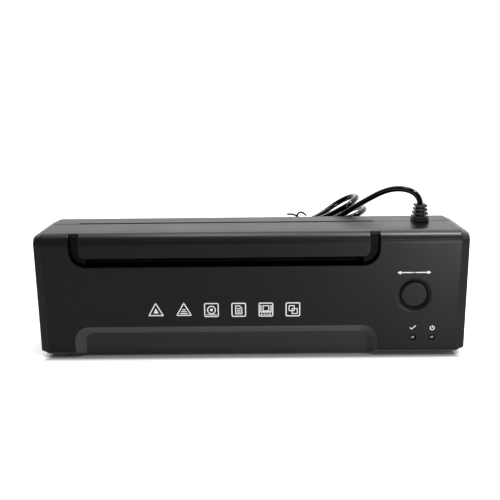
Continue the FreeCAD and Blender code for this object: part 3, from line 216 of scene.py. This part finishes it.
class Wire:
    # a node's output, used in sums like a number
    def __init__(self, nodes, socket):
        self.nodes = nodes
        self.socket = socket

    def sum(self, operation, first, second=0.0):
        return self.nodes.add("Math", {"operation": operation}, {0: first, 1: second})

    def __add__(self, other):
        return self.sum("ADD", self, other)

    def __radd__(self, other):
        return self.sum("ADD", other, self)

    def __sub__(self, other):
        return self.sum("SUBTRACT", self, other)

    def __rsub__(self, other):
        return self.sum("SUBTRACT", other, self)

    def __mul__(self, other):
        return self.sum("MULTIPLY", self, other)

    def __rmul__(self, other):
        return self.sum("MULTIPLY", other, self)

    def __gt__(self, other):
        return self.sum("GREATER_THAN", self, other)

    def __lt__(self, other):
        return self.sum("LESS_THAN", self, other)

    def __abs__(self):
        return self.sum("ABSOLUTE", self)

    def atLeast(self, other):
        return self.sum("MAXIMUM", self, other)

    def atMost(self, other):
        return self.sum("MINIMUM", self, other)


class NodeTree:
    # a material's or the world's nodes
    def __init__(self, tree):
        self.tree = tree

    def add(self, kind, settings=None, sockets=None, output=0):
        node = self.tree.nodes.new("ShaderNode" + kind)
        for key, value in (settings or {}).items():
            setattr(node, key, value)
        for key, value in (sockets or {}).items():
            self.join(value, node.inputs[key])
        return Wire(self, node.outputs[output])

    def join(self, value, socket):
        if isinstance(value, Wire):
            self.tree.links.new(value.socket, socket)
        else:
            socket.default_value = value

    def axes(self, vector):
        # the three parts of a vector
        node = self.add("SeparateXYZ", None, {"Vector": vector}).socket.node
        return [Wire(self, node.outputs[axis]) for axis in "XYZ"]


class Finish(NodeTree):
    # one material and the nodes that make its pattern
    def __init__(self, name, **fixed):
        self.material = bpy.data.materials.get(name) or bpy.data.materials.new(name)
        self.material.use_nodes = True
        super().__init__(self.material.node_tree)
        self.shader = self.tree.nodes["Principled BSDF"]
        for socket, value in fixed.items():
            self.shader.inputs[socket.replace("_", " ")].default_value = value
        self.spot = self.add("TexCoord", output="Object")

    def stretched(self, scale):
        # the piece's own coordinates, stretched for streaks and brushing
        return self.add("Mapping", None, {"Vector": self.spot, "Scale": scale})

    def noise(self, size, detail=2.0, rough=0.5, spot=None):
        # soft mottling, size in mm
        return self.add("TexNoise", None, {"Vector": spot or self.spot, "Scale": 1 / (size * mm),
                                           "Detail": detail, "Roughness": rough})

    def cells(self, size, spot=None):
        # small cells, size in mm
        return self.add("TexVoronoi", {"feature": "F1"},
                        {"Vector": spot or self.spot, "Scale": 1 / (size * mm)})

    def faces(self, name):
        # how much the mesh marks each face, 0 to 1, such as its rounded corners
        return self.add("Attribute", {"attribute_name": name}, output="Fac")

    def blend(self, share, low, high):
        return self.add("MixRGB", None, {"Fac": share, "Color1": low, "Color2": high})

    def bump(self, height, depth):
        # depth in mm
        return self.add("Bump", None, {"Height": height, "Distance": depth * mm, "Strength": 1.0})

    def set(self, **values):
        for socket, value in values.items():
            self.join(value, self.shader.inputs[socket.replace("_", " ")])
        return self.material


def shade(value, blue=0.0):
    return (value, value * (1 + blue * 0.4), value * (1 + blue), 1)


# painted sheen: a paler colour painted on some faces of the front cover in place of reflected
# light
paintedSheenTone = (0.045, 0.06)      # grey and blueness of the faces marked as sheen
mouldedPlastics = {
    # grey, blueness, roughness, grain size and depth in mm, smudge strength, specular level,
    # coat on the crown
    "case_black": (0.0046, 0.4, 0.38, 0.55, 0.008, 0.05, 0.10, 0.8),
    "button_black": (0.0045, 0.1, 0.36, 0.5, 0.006, 0.05, 0.11, 0.0),
    "channel_gloss": (0.0008, 0.1, 0.08, 6.0, 0.006, 0.03, 0.04, 0.0),
    "component_black": (0.018, 0.0, 0.45, 0.7, 0.01, 0.1, 0.45, 0.0),
    "terminal_white": (0.62, -0.08, 0.38, 0.8, 0.008, 0.1, 0.45, 0.0),
    "relay_blue": (0.05, 2.4, 0.34, 0.8, 0.006, 0.08, 0.5, 0.0),
}


def mouldedPlastic(name):
    grey, blue, rough, grain, depth, smudge, level, coat = mouldedPlastics[name]
    finish = Finish(name, Specular_IOR_Level=level, Coat_Weight=0.0, Coat_Roughness=0.32)
    mottle = finish.noise(46.0, 3.0)
    flow = finish.noise(9.0, 2.0, 0.6, finish.stretched((0.35, 1.0, 1.6)))
    sparkle = finish.cells(grain)
    worn = finish.faces("corner")
    tone = mottle * 0.6 + flow * 0.4
    colour = finish.blend(tone, shade(grey * 0.8, blue), shade(grey * 1.2, blue * 0.8))
    colour = finish.blend(worn * 0.45, colour, shade(grey * 3.0, blue * 0.5))
    # faces marked with the painted sheen are painted paler here, a painted reflection
    colour = finish.blend(finish.faces("paintedSheen"), colour, shade(*paintedSheenTone))
    roughness = rough + (mottle - 0.5) * smudge * 2 + (flow - 0.5) * smudge - worn * 0.05
    height = sparkle * 0.7 + finish.noise(grain * 0.6, 1.0) * 0.3
    if coat:
        finish.set(Coat_Weight=finish.faces("crown") * coat)
    return finish.set(Base_Color=colour, Roughness=roughness, Normal=finish.bump(height, depth))


rubbers = {
    # grey, blueness, roughness, specular level
    "cord_black": (0.0014, 0.05, 0.07, 0.5),
    "tie_black": (0.004, 0.0, 0.3, 0.3),
    "foot_rubber": (0.013, 0.0, 0.72, 0.3),
    "silicone": (0.006, -0.45, 0.5, 0.12),
    "boot_rubber": (0.0022, 0.0, 0.40, 0.10),
}


def rubber(name):
    grey, blue, rough, level = rubbers[name]
    finish = Finish("cord_sheath" if name == "cord_black" else name, Specular_IOR_Level=level)
    bloom = finish.noise(14.0, 4.0, 0.6)
    pores = finish.noise(0.7, 2.0)
    waves = finish.noise(5.0, 1.0)
    dust = finish.cells(3.1) < 0.18
    colour = finish.blend(bloom * 0.8 + dust * 0.08 + finish.faces("corner") * 0.3,
                          shade(grey * 0.75, blue), shade(grey * 1.5, blue * 0.8))
    roughness = rough + (bloom - 0.5) * 0.14 + dust * 0.05
    height = pores * 0.15 + waves * 0.85
    return finish.set(Base_Color=colour, Roughness=roughness, Normal=finish.bump(height, 0.012))


metals = {
    # colour, roughness, brushing along x y z, scratch depth in mm
    "zinc_steel": ((0.58, 0.6, 0.63), 0.34, (1.0, 1.0, 1.0), 0.006),
    "shaft_steel": ((0.66, 0.66, 0.67), 0.2, (14.0, 0.6, 0.6), 0.004),
    "plate_aluminium": ((0.76, 0.77, 0.79), 0.3, (0.15, 4.0, 4.0), 0.006),
    "motor_steel": ((0.5, 0.5, 0.52), 0.36, (6.0, 0.8, 0.8), 0.006),
    "bush_bronze": ((0.55, 0.33, 0.14), 0.42, (1.0, 1.0, 1.0), 0.01),
    "pin_nickel": ((0.74, 0.72, 0.68), 0.16, (0.4, 3.0, 3.0), 0.003),
}


def metal(name):
    colour, rough, brushing, depth = metals[name]
    finish = Finish(name, Metallic=1.0)
    lines = finish.noise(1.3, 3.0, 0.7, finish.stretched(brushing))
    clouds = finish.noise(11.0, 3.0, 0.6)
    spangle = finish.cells(4.5)
    tarnish = (clouds - 0.45) * 0.9 + lines * 0.2 + spangle * 0.15
    dull = tuple(part * 0.62 for part in colour)
    paint = finish.blend(tarnish, (*colour, 1), (*dull, 1))
    roughness = rough + (lines - 0.5) * 0.18 + (clouds - 0.5) * 0.16
    return finish.set(Base_Color=paint, Roughness=roughness, Normal=finish.bump(lines, depth))


def lensDark():
    finish = Finish("lens_dark", Specular_IOR_Level=0.7, Coat_Weight=0.6, Coat_Roughness=0.03)
    cloud = finish.noise(2.2, 2.0)
    colour = finish.blend(cloud, (0.010, 0.009, 0.010, 1), (0.035, 0.030, 0.032, 1))
    return finish.set(Base_Color=colour, Roughness=0.08 + cloud * 0.06,
                      Normal=finish.bump(finish.noise(1.6, 1.0), 0.01))


def gearNylon():
    finish = Finish("gear_nylon", Specular_IOR_Level=0.5, Subsurface_Weight=0.08)
    cloud = finish.noise(6.0, 3.0)
    grease = finish.noise(3.4, 4.0, 0.65) > 0.6
    colour = finish.blend(cloud, (0.68, 0.66, 0.58, 1), (0.82, 0.8, 0.73, 1))
    return finish.set(Base_Color=finish.blend(grease * 0.4, colour, (0.5, 0.44, 0.3, 1)),
                      Roughness=0.42 - grease * 0.2 + (cloud - 0.5) * 0.1,
                      Normal=finish.bump(cloud, 0.02))


def mica():
    finish = Finish("mica", Specular_IOR_Level=0.55)
    flakes = finish.cells(2.4, finish.stretched((1.0, 1.0, 5.0)))
    cloud = finish.noise(7.0, 4.0, 0.6)
    colour = finish.blend(flakes * 0.6 + cloud * 0.5, (0.34, 0.24, 0.13, 1), (0.62, 0.5, 0.32, 1))
    return finish.set(Base_Color=colour, Roughness=0.3 + flakes * 0.25,
                      Normal=finish.bump(flakes, 0.03))


def boardGreen():
    finish = Finish("board_green", Specular_IOR_Level=0.5)
    weave = finish.add("TexWave", {"wave_type": "BANDS", "bands_direction": "Z"},
                       {"Vector": finish.spot, "Scale": 220.0, "Distortion": 0.4})
    tracks = finish.cells(5.0, finish.stretched((1.0, 0.05, 0.4))) < 0.24
    colour = finish.blend(tracks * 0.7, (0.012, 0.09, 0.03, 1), (0.03, 0.19, 0.07, 1))
    return finish.set(Base_Color=colour, Roughness=0.3 + weave * 0.08,
                      Normal=finish.bump(tracks * 0.7 + weave * 0.3, 0.02))


def printInk():
    # white screen print, a little thin in places
    finish = Finish("print_ink", Specular_IOR_Level=0.3)
    thin = finish.noise(0.8, 3.0, 0.7)
    colour = finish.blend(thin, (0.5, 0.5, 0.51, 1), (0.68, 0.68, 0.68, 1))
    return finish.set(Base_Color=colour, Roughness=0.5 + thin * 0.2,
                      Normal=finish.bump(thin, 0.004))


finishes = {"lens_dark": lensDark(), "gear_nylon": gearNylon(), "mica": mica(),
            "board_green": boardGreen(), "print_ink": printInk()}
finishes.update({name: mouldedPlastic(name) for name in mouldedPlastics})
finishes.update({name: rubber(name) for name in rubbers})
finishes.update({name: metal(name) for name in metals})


def slotOf(node):
    return frame["nodes"][node].material_slots[0].material.name.split(".")[0]


nodeSlots = {node: slotOf(node) for node in frame["nodes"]}
nodeSlots["strain_relief"] = "boot_rubber"
for node, slotName in nodeSlots.items():
    for holder in frame["nodes"][node].material_slots:
        holder.material = finishes[slotName]
print("finishes mixed for", len(nodeSlots), "nodes")

# moulded shells: merged copies of the CAD nodes with their corners rounded

softShells = {
    # node: new name, corner width in mm, segments, sharpest angle left alone in degrees
    "front_cover": ("front_shell", 0.35, 2, 24),
    "rear_cover": ("rear_shell", 0.35, 2, 24),
    "left_end_cap": ("left_cheek", 0.45, 2, 24),
    "right_end_cap": ("right_cheek", 0.45, 2, 24),
    "exit_guide": ("exit_lip", 0.3, 2, 30),
    "button_cap": ("push_cap", 0.6, 2, 30),
    "strain_relief": ("cable_boot", 0.3, 2, 30),
    "power_plug": ("mains_plug", 0.25, 2, 30),
    "terminal_block": ("screw_terminals", 0.1, 2, 30),
    "relay": ("relay_case", 0.4, 3, 30),
}


shadingSettings = {
    "sharpAbove": 35,        # degrees
    "flatAbove": 60,         # mm2; larger faces square to an axis are shaded flat
    "flatSquareness": 0.99995,
}


def isWide(area):
    return area > shadingSettings["flatAbove"] * mm * mm


def finishMesh(sheet, name, slotName, body="root"):
    # a bmesh becomes a shown piece with its finish, riding on its body
    data = bpy.data.meshes.new(name)
    sheet.to_mesh(data)
    sheet.free()
    for spare in ("custom_normal", "sharp_edge", "sharp_face"):
        if spare in data.attributes:
            data.attributes.remove(data.attributes[spare])
    data.materials.clear()
    data.materials.append(finishes[slotName])
    data.shade_smooth()
    data.set_sharp_from_angle(angle=math.radians(shadingSettings["sharpAbove"]))
    for face in data.polygons:
        face.material_index = 0
        # the wide flats are shaded flat, right up to their rounded edges
        squareness = max(abs(share) for share in face.normal)
        if isWide(face.area) and squareness > shadingSettings["flatSquareness"]:
            face.use_smooth = False
    piece = bpy.data.objects.new(name, data)
    bpy.context.scene.collection.objects.link(piece)
    weighted = piece.modifiers.new("even_shading", "WEIGHTED_NORMAL")
    weighted.keep_sharp = True
    weighted.weight = 100
    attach(piece, body)
    return piece


# the groove where the front and rear covers meet, along the top
seam = {"y": 6.0, "within": 0.02, "above": 99.0, "rounding": 0.6}
# the round seat under the cable boot, whose short facets stay sharp
bootSeat = {"middle": (138.7, 6.0), "reach": 5.3}


def onSeam(edge):
    return all(abs(vertex.co.y - seam["y"] * mm) < seam["within"] * mm
               and vertex.co.z > seam["above"] * mm for vertex in edge.verts)


def inSeat(edge):
    middle = Vector(bootSeat["middle"])
    return all((vertex.co.xy / mm - middle).length < bootSeat["reach"]
               and vertex.co.z > seam["above"] * mm for vertex in edge.verts)


def anywhere(edge):
    return not onSeam(edge) and not inSeat(edge)


# the low recess in the front cover and its lower front edge are painted paler, a painted
# reflection: the sloping sides most where they face the light, the panel a little
recessPaintedSheen = {
    "front": -29.5, "floor": -33.95, "left": -143.5, "right": 101.5, "foot": 4.2, "top": 27.0,
    "panel": 0.3,            # paleness of the panel
    "panelFacing": -0.97,    # normals past this belong to the panel
    "sideFacing": -0.2,      # and past this to the sides
    "footFacing": {"y": -0.3, "z": -0.45},       # the lower front edge, facing down and out
    # how fast the painted reflection fades on faces turned left, away from the light, and right
    "leftSideLoss": 1.5,
    "rightSideLoss": 0.7,
}


# painted reflection: how much paler a face of the front cover is painted, by where it is and
# which way it faces
def paintedSheenShare(face, recess):
    spot = face.calc_center_median() / mm
    facing = face.normal
    if spot.y > recess["front"] or spot.z > recess["top"]:
        return 0.0
    if spot.z < recess["foot"]:
        onFoot = facing.y < recess["footFacing"]["y"] and facing.z < recess["footFacing"]["z"]
        return 1.0 if onFoot else 0.0
    inRecess = recess["left"] < spot.x < recess["right"] and spot.y >= recess["floor"]
    if not inRecess or facing.y > recess["sideFacing"]:
        return 0.0
    if facing.y < recess["panelFacing"]:
        return recess["panel"]
    loss = max(-facing.x * recess["leftSideLoss"], facing.x * recess["rightSideLoss"])
    return 1.0 - min(1.0, loss)


# the covers' top front rounding, which shines more than the flats
crownSettings = {
    "nodes": ("front_cover", "left_end_cap", "right_end_cap"),
    "above": 80,
    "facingFront": (-0.96, -0.2),        # limits of the normal's y
    "facingUp": 0.25,                    # least z of the normal
}


def isCrown(face, crown):
    facing = face.normal
    spot = face.calc_center_median() / mm
    low, high = crown["facingFront"]
    return (spot.z > crown["above"] and spot.y < 0 and low < facing.y < high
            and facing.z > crown["facingUp"])


shellSettings = {
    "mergeWithin": 0.003,
    "coplanar": 0.05,        # degrees; faces closer than this become one
    "levelWithin": 0.12,     # corners this near a flat are brought back onto it
    "levelSquareness": 0.9999,
}


def levelFlats(sheet):
    # brings corners that a rounding pulled off a wide flat back onto it
    for face in sheet.faces:
        axis = max(range(3), key=lambda index: abs(face.normal[index]))
        squareness = abs(face.normal[axis])
        if isWide(face.calc_area()) and squareness > shellSettings["levelSquareness"]:
            heights = sorted(vertex.co[axis] for vertex in face.verts)
            level = heights[len(heights) // 2]
            for vertex in face.verts:
                if abs(vertex.co[axis] - level) < shellSettings["levelWithin"] * mm:
                    vertex.co[axis] = level
    sheet.normal_update()


def softShell(node, name, width, segments, angle):
    source = frame["nodes"][node]
    sheet = bmesh.new()
    sheet.from_mesh(source.data)
    bmesh.ops.remove_doubles(sheet, verts=sheet.verts, dist=shellSettings["mergeWithin"] * mm)
    bmesh.ops.dissolve_limit(sheet, angle_limit=math.radians(shellSettings["coplanar"]),
                             verts=sheet.verts, edges=sheet.edges)
    corner = sheet.faces.layers.float.new("corner")
    for test, offset in ((onSeam, seam["rounding"]), (anywhere, width)):
        sharp = [edge for edge in sheet.edges if edge.is_manifold and test(edge)
                 and edge.calc_face_angle() > math.radians(angle)]
        rounded = bmesh.ops.bevel(sheet, geom=sharp, affect="EDGES", offset=offset * mm,
                                  offset_type="OFFSET", segments=segments, profile=0.5,
                                  material=-1, loop_slide=True, clamp_overlap=False)
        for face in rounded["faces"]:
            face[corner] = 1.0
    sheet.normal_update()
    levelFlats(sheet)
    paintedSheen = sheet.faces.layers.float.new("paintedSheen")
    crown = sheet.faces.layers.float.new("crown")
    for face in sheet.faces:
        # the front cover's recess and lower edge get the painted reflection
        if node == "front_cover":
            face[paintedSheen] = paintedSheenShare(face, recessPaintedSheen)
        if node in crownSettings["nodes"] and isCrown(face, crownSettings):
            face[crown] = 1.0
    piece = finishMesh(sheet, name, nodeSlots[node], source["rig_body"])
    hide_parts(node)
    return piece


for node, (name, width, segments, angle) in softShells.items():
    softShell(node, name, width, segments, angle)
print("shells rounded")

# white screen print on the front

printSettings = {
    "front": -34.0,          # the front face, mm
    "proud": 0.03,
    "iconHeight": 39.2,
    "icons": (-75.7, -53.5, -31.7, -10.1, 11.4, 32.7),
    "iconSize": 11.6,
    "line": 0.85,
    "arrows": (127.2, 68.5),     # over the button
    "ready": (127.8, 23.1),      # over the left lamp
    "power": (143.3, 23.0),      # over the right lamp
}


def flatShape(sheet, corners, rounding=0.0, line=0.0):
    # a flat figure across the front, or only its rim where a line width is given
    points = [sheet.verts.new((x * mm, 0, z * mm)) for x, z in corners]
    face = sheet.faces.new(points)
    if rounding:
        bmesh.ops.bevel(sheet, geom=points, affect="VERTICES", offset=rounding * mm,
                        offset_type="OFFSET", segments=5, profile=0.5, material=-1)
        sheet.faces.ensure_lookup_table()
        face = sheet.faces[-1]
    face.normal_update()
    if line:
        bmesh.ops.inset_region(sheet, faces=[face], thickness=line * mm,
                               use_boundary=True, use_even_offset=True)
        bmesh.ops.delete(sheet, geom=[face], context="FACES_ONLY")


def bar(sheet, start, end, width):
    along = Vector((end[0] - start[0], end[1] - start[1])).normalized() * width / 2
    side = Vector((-along.y, along.x))
    flatShape(sheet, [Vector(start) + side, Vector(start) - side,
                      Vector(end) - side, Vector(end) + side])


def disc(sheet, centre, radius, line=0.0):
    ring = [(centre[0] + radius * math.cos(turn), centre[1] + radius * math.sin(turn))
            for turn in (math.tau * step / 28 for step in range(28))]
    flatShape(sheet, ring, 0.0, line)


def box(sheet, centre, wide, high, rounding=0.0, line=0.0):
    x, z = centre
    flatShape(sheet, [(x - wide / 2, z - high / 2), (x + wide / 2, z - high / 2),
                      (x + wide / 2, z + high / 2), (x - wide / 2, z + high / 2)],
              rounding, line)


def arc(sheet, centre, radius, line, start, sweep):
    # part of a ring, turned from a short radial edge
    points = [sheet.verts.new(((centre[0] + reach * math.cos(start)) * mm, 0,
                               (centre[1] + reach * math.sin(start)) * mm))
              for reach in (radius - line / 2, radius + line / 2)]
    edge = sheet.edges.new(points)
    bmesh.ops.spin(sheet, geom=points + [edge], cent=(centre[0] * mm, 0, centre[1] * mm),
                   axis=(0, -1, 0), angle=sweep, steps=24)


def arrow(sheet, tail, tip, width, head):
    way = (Vector(tip) - Vector(tail)).normalized()
    side = Vector((-way.y, way.x))
    neck = Vector(tip) - way * head * 1.25
    bar(sheet, tail, neck + way * 0.1, width)
    flatShape(sheet, [neck + side * head * 0.6, neck - side * head * 0.6, Vector(tip)])


# each picture is drawn round its own place, in mm

def drawFrames(sheet, places, settings):
    # the first two pictures stand in triangles, the others in rounded squares
    size = settings["iconSize"]
    for number, (x, z) in enumerate(places):
        if number < 2:
            low = z - size * 0.4
            flatShape(sheet, [(x - size * 0.55, low), (x + size * 0.55, low),
                              (x, z + size * 0.58)], 1.0, settings["line"])
        else:
            box(sheet, (x, z), size, size, 1.3, settings["line"])


def drawWarmUp(sheet, x, z):
    flatShape(sheet, [(x - 2.0, z - 2.4), (x + 2.0, z - 2.4), (x, z + 1.7)])


def drawHeatLines(sheet, x, z):
    for step, half in ((-2.7, 2.9), (-1.1, 2.1), (0.5, 1.3)):
        bar(sheet, (x - half, z + step), (x + half, z + step), 0.8)


def drawRoller(sheet, x, z):
    disc(sheet, (x, z), 3.5, 0.8)
    disc(sheet, (x, z), 1.1)
    bar(sheet, (x - 4.2, z - 4.0), (x + 4.2, z - 4.0), 0.6)


def drawTurnedSheet(sheet, x, z):
    flatShape(sheet, [(x - 2.8, z - 3.7), (x + 2.8, z - 3.7), (x + 2.8, z + 1.6),
                      (x + 0.7, z + 3.7), (x - 2.8, z + 3.7)], 0.0, 0.7)
    for step in (-1.9, -0.4, 1.1):
        bar(sheet, (x - 1.6, z + step), (x + 1.5, z + step), 0.7)


def drawFeeding(sheet, x, z):
    box(sheet, (x, z + 1.1), 5.2, 5.0, 0.0, 0.7)
    for side in (-1, 1):
        bar(sheet, (x + side * 4.0, z + 3.6), (x + side * 4.0, z - 1.6), 0.8)
    bar(sheet, (x - 4.4, z - 2.0), (x + 4.4, z - 2.0), 0.9)
    for place in (-3.2, -1.1, 1.1, 3.2):
        box(sheet, (x + place, z - 3.9), 1.2, 0.9)


def drawTwoSheets(sheet, x, z):
    box(sheet, (x - 1.0, z + 1.0), 4.8, 4.8, 0.7, 0.7)
    box(sheet, (x + 1.4, z - 1.4), 4.8, 4.8, 0.7, 0.7)


def drawArrows(sheet, x, z):
    for side in (-1, 1):
        arrow(sheet, (x + side * 1.2, z), (x + side * 13.2, z), 0.75, 2.3)
    disc(sheet, (x, z), 0.5)


def drawReady(sheet, x, z):
    bar(sheet, (x - 2.2, z + 0.1), (x - 0.7, z - 1.4), 0.7)
    bar(sheet, (x - 0.95, z - 1.4), (x + 2.4, z + 1.7), 0.7)


def drawPower(sheet, x, z):
    arc(sheet, (x, z - 0.2), 1.65, 0.6, math.radians(125), math.radians(290))
    bar(sheet, (x, z - 0.2), (x, z + 2.0), 0.6)


def makePrint(settings):
    sheet = bmesh.new()
    places = [(x, settings["iconHeight"]) for x in settings["icons"]]
    drawFrames(sheet, places, settings)
    pictures = (drawWarmUp, drawHeatLines, drawRoller, drawTurnedSheet, drawFeeding,
                drawTwoSheets)
    for draw, (x, z) in zip(pictures, places):
        draw(sheet, x, z)
    drawArrows(sheet, *settings["arrows"])
    drawReady(sheet, *settings["ready"])
    drawPower(sheet, *settings["power"])

    raised = bmesh.ops.extrude_face_region(sheet, geom=list(sheet.faces))["geom"]
    points = [item for item in raised if isinstance(item, bmesh.types.BMVert)]
    proud = settings["proud"] * mm
    bmesh.ops.translate(sheet, verts=points, vec=(0, -2 * proud, 0))
    bmesh.ops.translate(sheet, verts=sheet.verts, vec=(0, settings["front"] * mm + proud, 0))
    bmesh.ops.recalc_face_normals(sheet, faces=sheet.faces)
    return finishMesh(sheet, "front_print", "print_ink")


makePrint(printSettings)
print("print laid on")

# twist ties round the hank

tieSettings = {
    "wide": 4.0,
    "thick": 0.7,
    # where the strip goes round the runs, across and up
    "round": [(-9.5, 0.4), (-3.4, 6.6), (5.6, 6.3), (8.2, 3.4), (8.2, -3.0), (5.4, -5.8),
              (-2.6, -6.2)],
    "corner": 1.6,
    "wire": 0.85,            # radius of the twisted ends
    "feet": (2.5, 5.4),      # how far up the strip each end leaves it
    "twist": {"steps": 14, "turn": 1.15, "radius": 0.62},      # turn in radians a step
    "ties": [
        # which way from the hank's middle, where the ends leave the strip (across), where
        # the twist starts and ends, and the parted tips
        {"side": 1, "foot": -6.0, "start": (47.5, 52.0, 91.0), "end": (40.5, 49.5, 97.4),
         "tips": [[(38.0, 49.0, 99.4), (35.0, 48.5, 100.2), (31.6, 48.5, 99.9)],
                  [(41.0, 49.0, 100.6), (44.8, 48.6, 102.4), (48.6, 49.0, 98.6)]]},
        {"side": -1, "foot": 6.5, "start": (-76.0, 67.5, 33.0), "end": (-84.0, 73.0, 38.5),
         "tips": [[(-88.0, 75.5, 39.4), (-92.0, 76.5, 38.4)],
                  [(-85.0, 76.5, 42.5), (-84.6, 78.5, 46.5)]]},
    ],
}


def wireMesh(sheet, points, radius):
    # a thin bent wire, added to the sheet as a closed mesh
    curve = bentLine("wire", points, radius, roundness=2, smoothness=5)
    holder = bpy.data.objects.new("wire", curve)
    data = bpy.data.meshes.new_from_object(holder)
    sheet.from_mesh(data)
    bpy.data.objects.remove(holder)
    bpy.data.curves.remove(curve)
    bpy.data.meshes.remove(data)


def tieStrip(sheet, along, settings):
    # the flat strip round the runs
    half = settings["wide"] / 2
    ring = [sheet.verts.new(leanHank(along - half, across, up) * mm)
            for across, up in settings["round"]]
    sheet.faces.new(ring)
    bmesh.ops.bevel(sheet, geom=ring, affect="VERTICES", offset=settings["corner"] * mm,
                    offset_type="OFFSET", segments=4, profile=0.5, material=-1)
    sheet.faces.ensure_lookup_table()
    face = sheet.faces[-1]
    face.normal_update()
    rim = bmesh.ops.inset_region(sheet, faces=[face], thickness=settings["thick"] * mm,
                                 use_boundary=True, use_even_offset=True)["faces"]
    bmesh.ops.delete(sheet, geom=[face], context="FACES_ONLY")
    grown = bmesh.ops.extrude_face_region(sheet, geom=rim)["geom"]
    reach = leanHank(along + half, 0, 0) - leanHank(along - half, 0, 0)
    bmesh.ops.translate(sheet, vec=reach * mm,
                        verts=[item for item in grown if isinstance(item, bmesh.types.BMVert)])


def tieEnds(sheet, along, tie, settings):
    # the two wires of one tie, twisted round each other and parted at their tips
    twist = settings["twist"]
    start = Vector(tie["start"])
    way = Vector(tie["end"]) - start
    side = way.cross(Vector((0, 1, 0.3))).normalized()
    other = way.cross(side).normalized()
    for index, (tips, up) in enumerate(zip(tie["tips"], settings["feet"])):
        turns = []
        for step in range(twist["steps"] + 1):
            angle = step * twist["turn"] + math.pi * index
            turns.append(start + way * step / twist["steps"]
                         + (side * math.cos(angle) + other * math.sin(angle)) * twist["radius"])
        foot = leanHank(along, tie["foot"], up)
        wireMesh(sheet, [foot] + turns + [Vector(tip) for tip in tips], settings["wire"])


def makeTies(settings):
    sheet = bmesh.new()
    for tie in settings["ties"]:
        along = tie["side"] * hankSettings["waist"]
        tieStrip(sheet, along, settings)
        tieEnds(sheet, along, tie, settings)
    bmesh.ops.recalc_face_normals(sheet, faces=sheet.faces)
    piece = finishMesh(sheet, "twist_ties", "tie_black")
    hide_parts("cord_ties")
    return piece


makeTies(tieSettings)

# stage and light

floorSettings = {
    "halfWidth": 1.7,        # m
    # how far out from the machine the floor turns from painted shadow to lit, in m
    "paintedShadow": {"halfX": 0.160, "halfY": 0.034, "near": 0.0015, "far": 0.0085},
    # painted light: the floor glows away from the machine, and is painted dark and unlit close to
    # it
    "paintedGlow": 0.42,
    "paper": ((0.93, 0.935, 0.94, 1), (0.95, 0.95, 0.95, 1)),
    "paintedShade": (0.28, 0.285, 0.29, 1),
    "paintedGlowColour": (0.97, 0.985, 1.0, 1),
}


def makeFloor(settings):
    sheet = bmesh.new()
    bmesh.ops.create_grid(sheet, x_segments=1, y_segments=1, size=settings["halfWidth"])
    data = bpy.data.meshes.new("floor")
    sheet.to_mesh(data)
    sheet.free()
    floor = bpy.data.objects.new("floor", data)
    bpy.context.scene.collection.objects.link(floor)
    paper = Finish("paper", Specular_IOR_Level=0.2)
    fibre = paper.noise(30.0, 2.0)
    # painted shadow round the machine's footprint: darker paper and no glow near it, painted
    # light further out
    paintedShadow = settings["paintedShadow"]
    x, y, _ = paper.axes(paper.spot)
    outside = (abs(x) - paintedShadow["halfX"]).atLeast(abs(y) - paintedShadow["halfY"])
    band = paintedShadow["far"] - paintedShadow["near"]
    lit = ((outside - paintedShadow["near"]) * (1 / band)).atLeast(0.0).atMost(1.0)
    white = paper.blend(fibre, *settings["paper"])
    paper.set(Base_Color=paper.blend(lit, settings["paintedShade"], white), Roughness=0.6,
              Emission_Color=paper.blend(lit, (0, 0, 0, 1), settings["paintedGlowColour"]))
    paper.shader.inputs["Emission Strength"].default_value = settings["paintedGlow"]
    data.materials.append(paper.material)


lightSettings = {
    # places and sizes in m
    "aim": (0, 0, 0.05),
    "key": {"place": (-0.12, -0.10, 1.5), "size": 0.4, "power": 4.0,
            "colour": (1.0, 0.99, 0.97)},
    "side": {"place": (0.34, -0.5, 0.08), "size": 0.18, "power": 2.6,
             "colour": (1.0, 0.98, 0.95)},
    "band": {"place": (0.52, -0.33, 1.5), "size": 0.3, "power": 10.0,
             "colour": (1.0, 1.0, 0.98)},
}


def makeLight(name, settings):
    data = bpy.data.lights.new(name, "AREA")
    data.shape = "DISK"
    data.size = settings["size"]
    data.energy = settings["power"]
    data.color = settings["colour"]
    light = bpy.data.objects.new(name, data)
    bpy.context.scene.collection.objects.link(light)
    place = Vector(settings["place"])
    turn = (Vector(lightSettings["aim"]) - place).to_track_quat("-Z", "Y")
    light.matrix_world = Matrix.Translation(place) @ turn.to_matrix().to_4x4()


worldSettings = {
    "colour": (0.985, 0.99, 1.0, 1),
    "seen": 1.1,             # strength behind the machine, where the camera sees it
    # strength of its light: a base, what each direction adds, and its limits
    "base": 0.32, "depth": 1.7, "height": 0.45, "side": 0.8,
    "dim": 0.03, "bright": 2.3,
}


def makeWorld(settings):
    # a white room that falls off to a dim side in front of the machine
    world = bpy.data.worlds.new("studio")
    bpy.context.scene.world = world
    world.use_nodes = True
    room = NodeTree(world.node_tree)
    side, depth, height = room.axes(room.add("TexCoord", output="Generated"))
    light = (settings["base"] + depth * settings["depth"] + height * settings["height"]
             + side * settings["side"]).atLeast(settings["dim"]).atMost(settings["bright"])
    seen = room.add("LightPath", output="Is Camera Ray")
    background = room.tree.nodes["Background"]
    background.inputs["Color"].default_value = settings["colour"]
    room.join(light * (1 - seen) + seen * settings["seen"], background.inputs["Strength"])


makeFloor(floorSettings)
makeWorld(worldSettings)
for lightName in ("key", "side", "band"):
    makeLight(lightName, lightSettings[lightName])
bpy.context.scene.view_settings.view_transform = "Standard"
print("stage set")

bpy.context.view_layer.update()
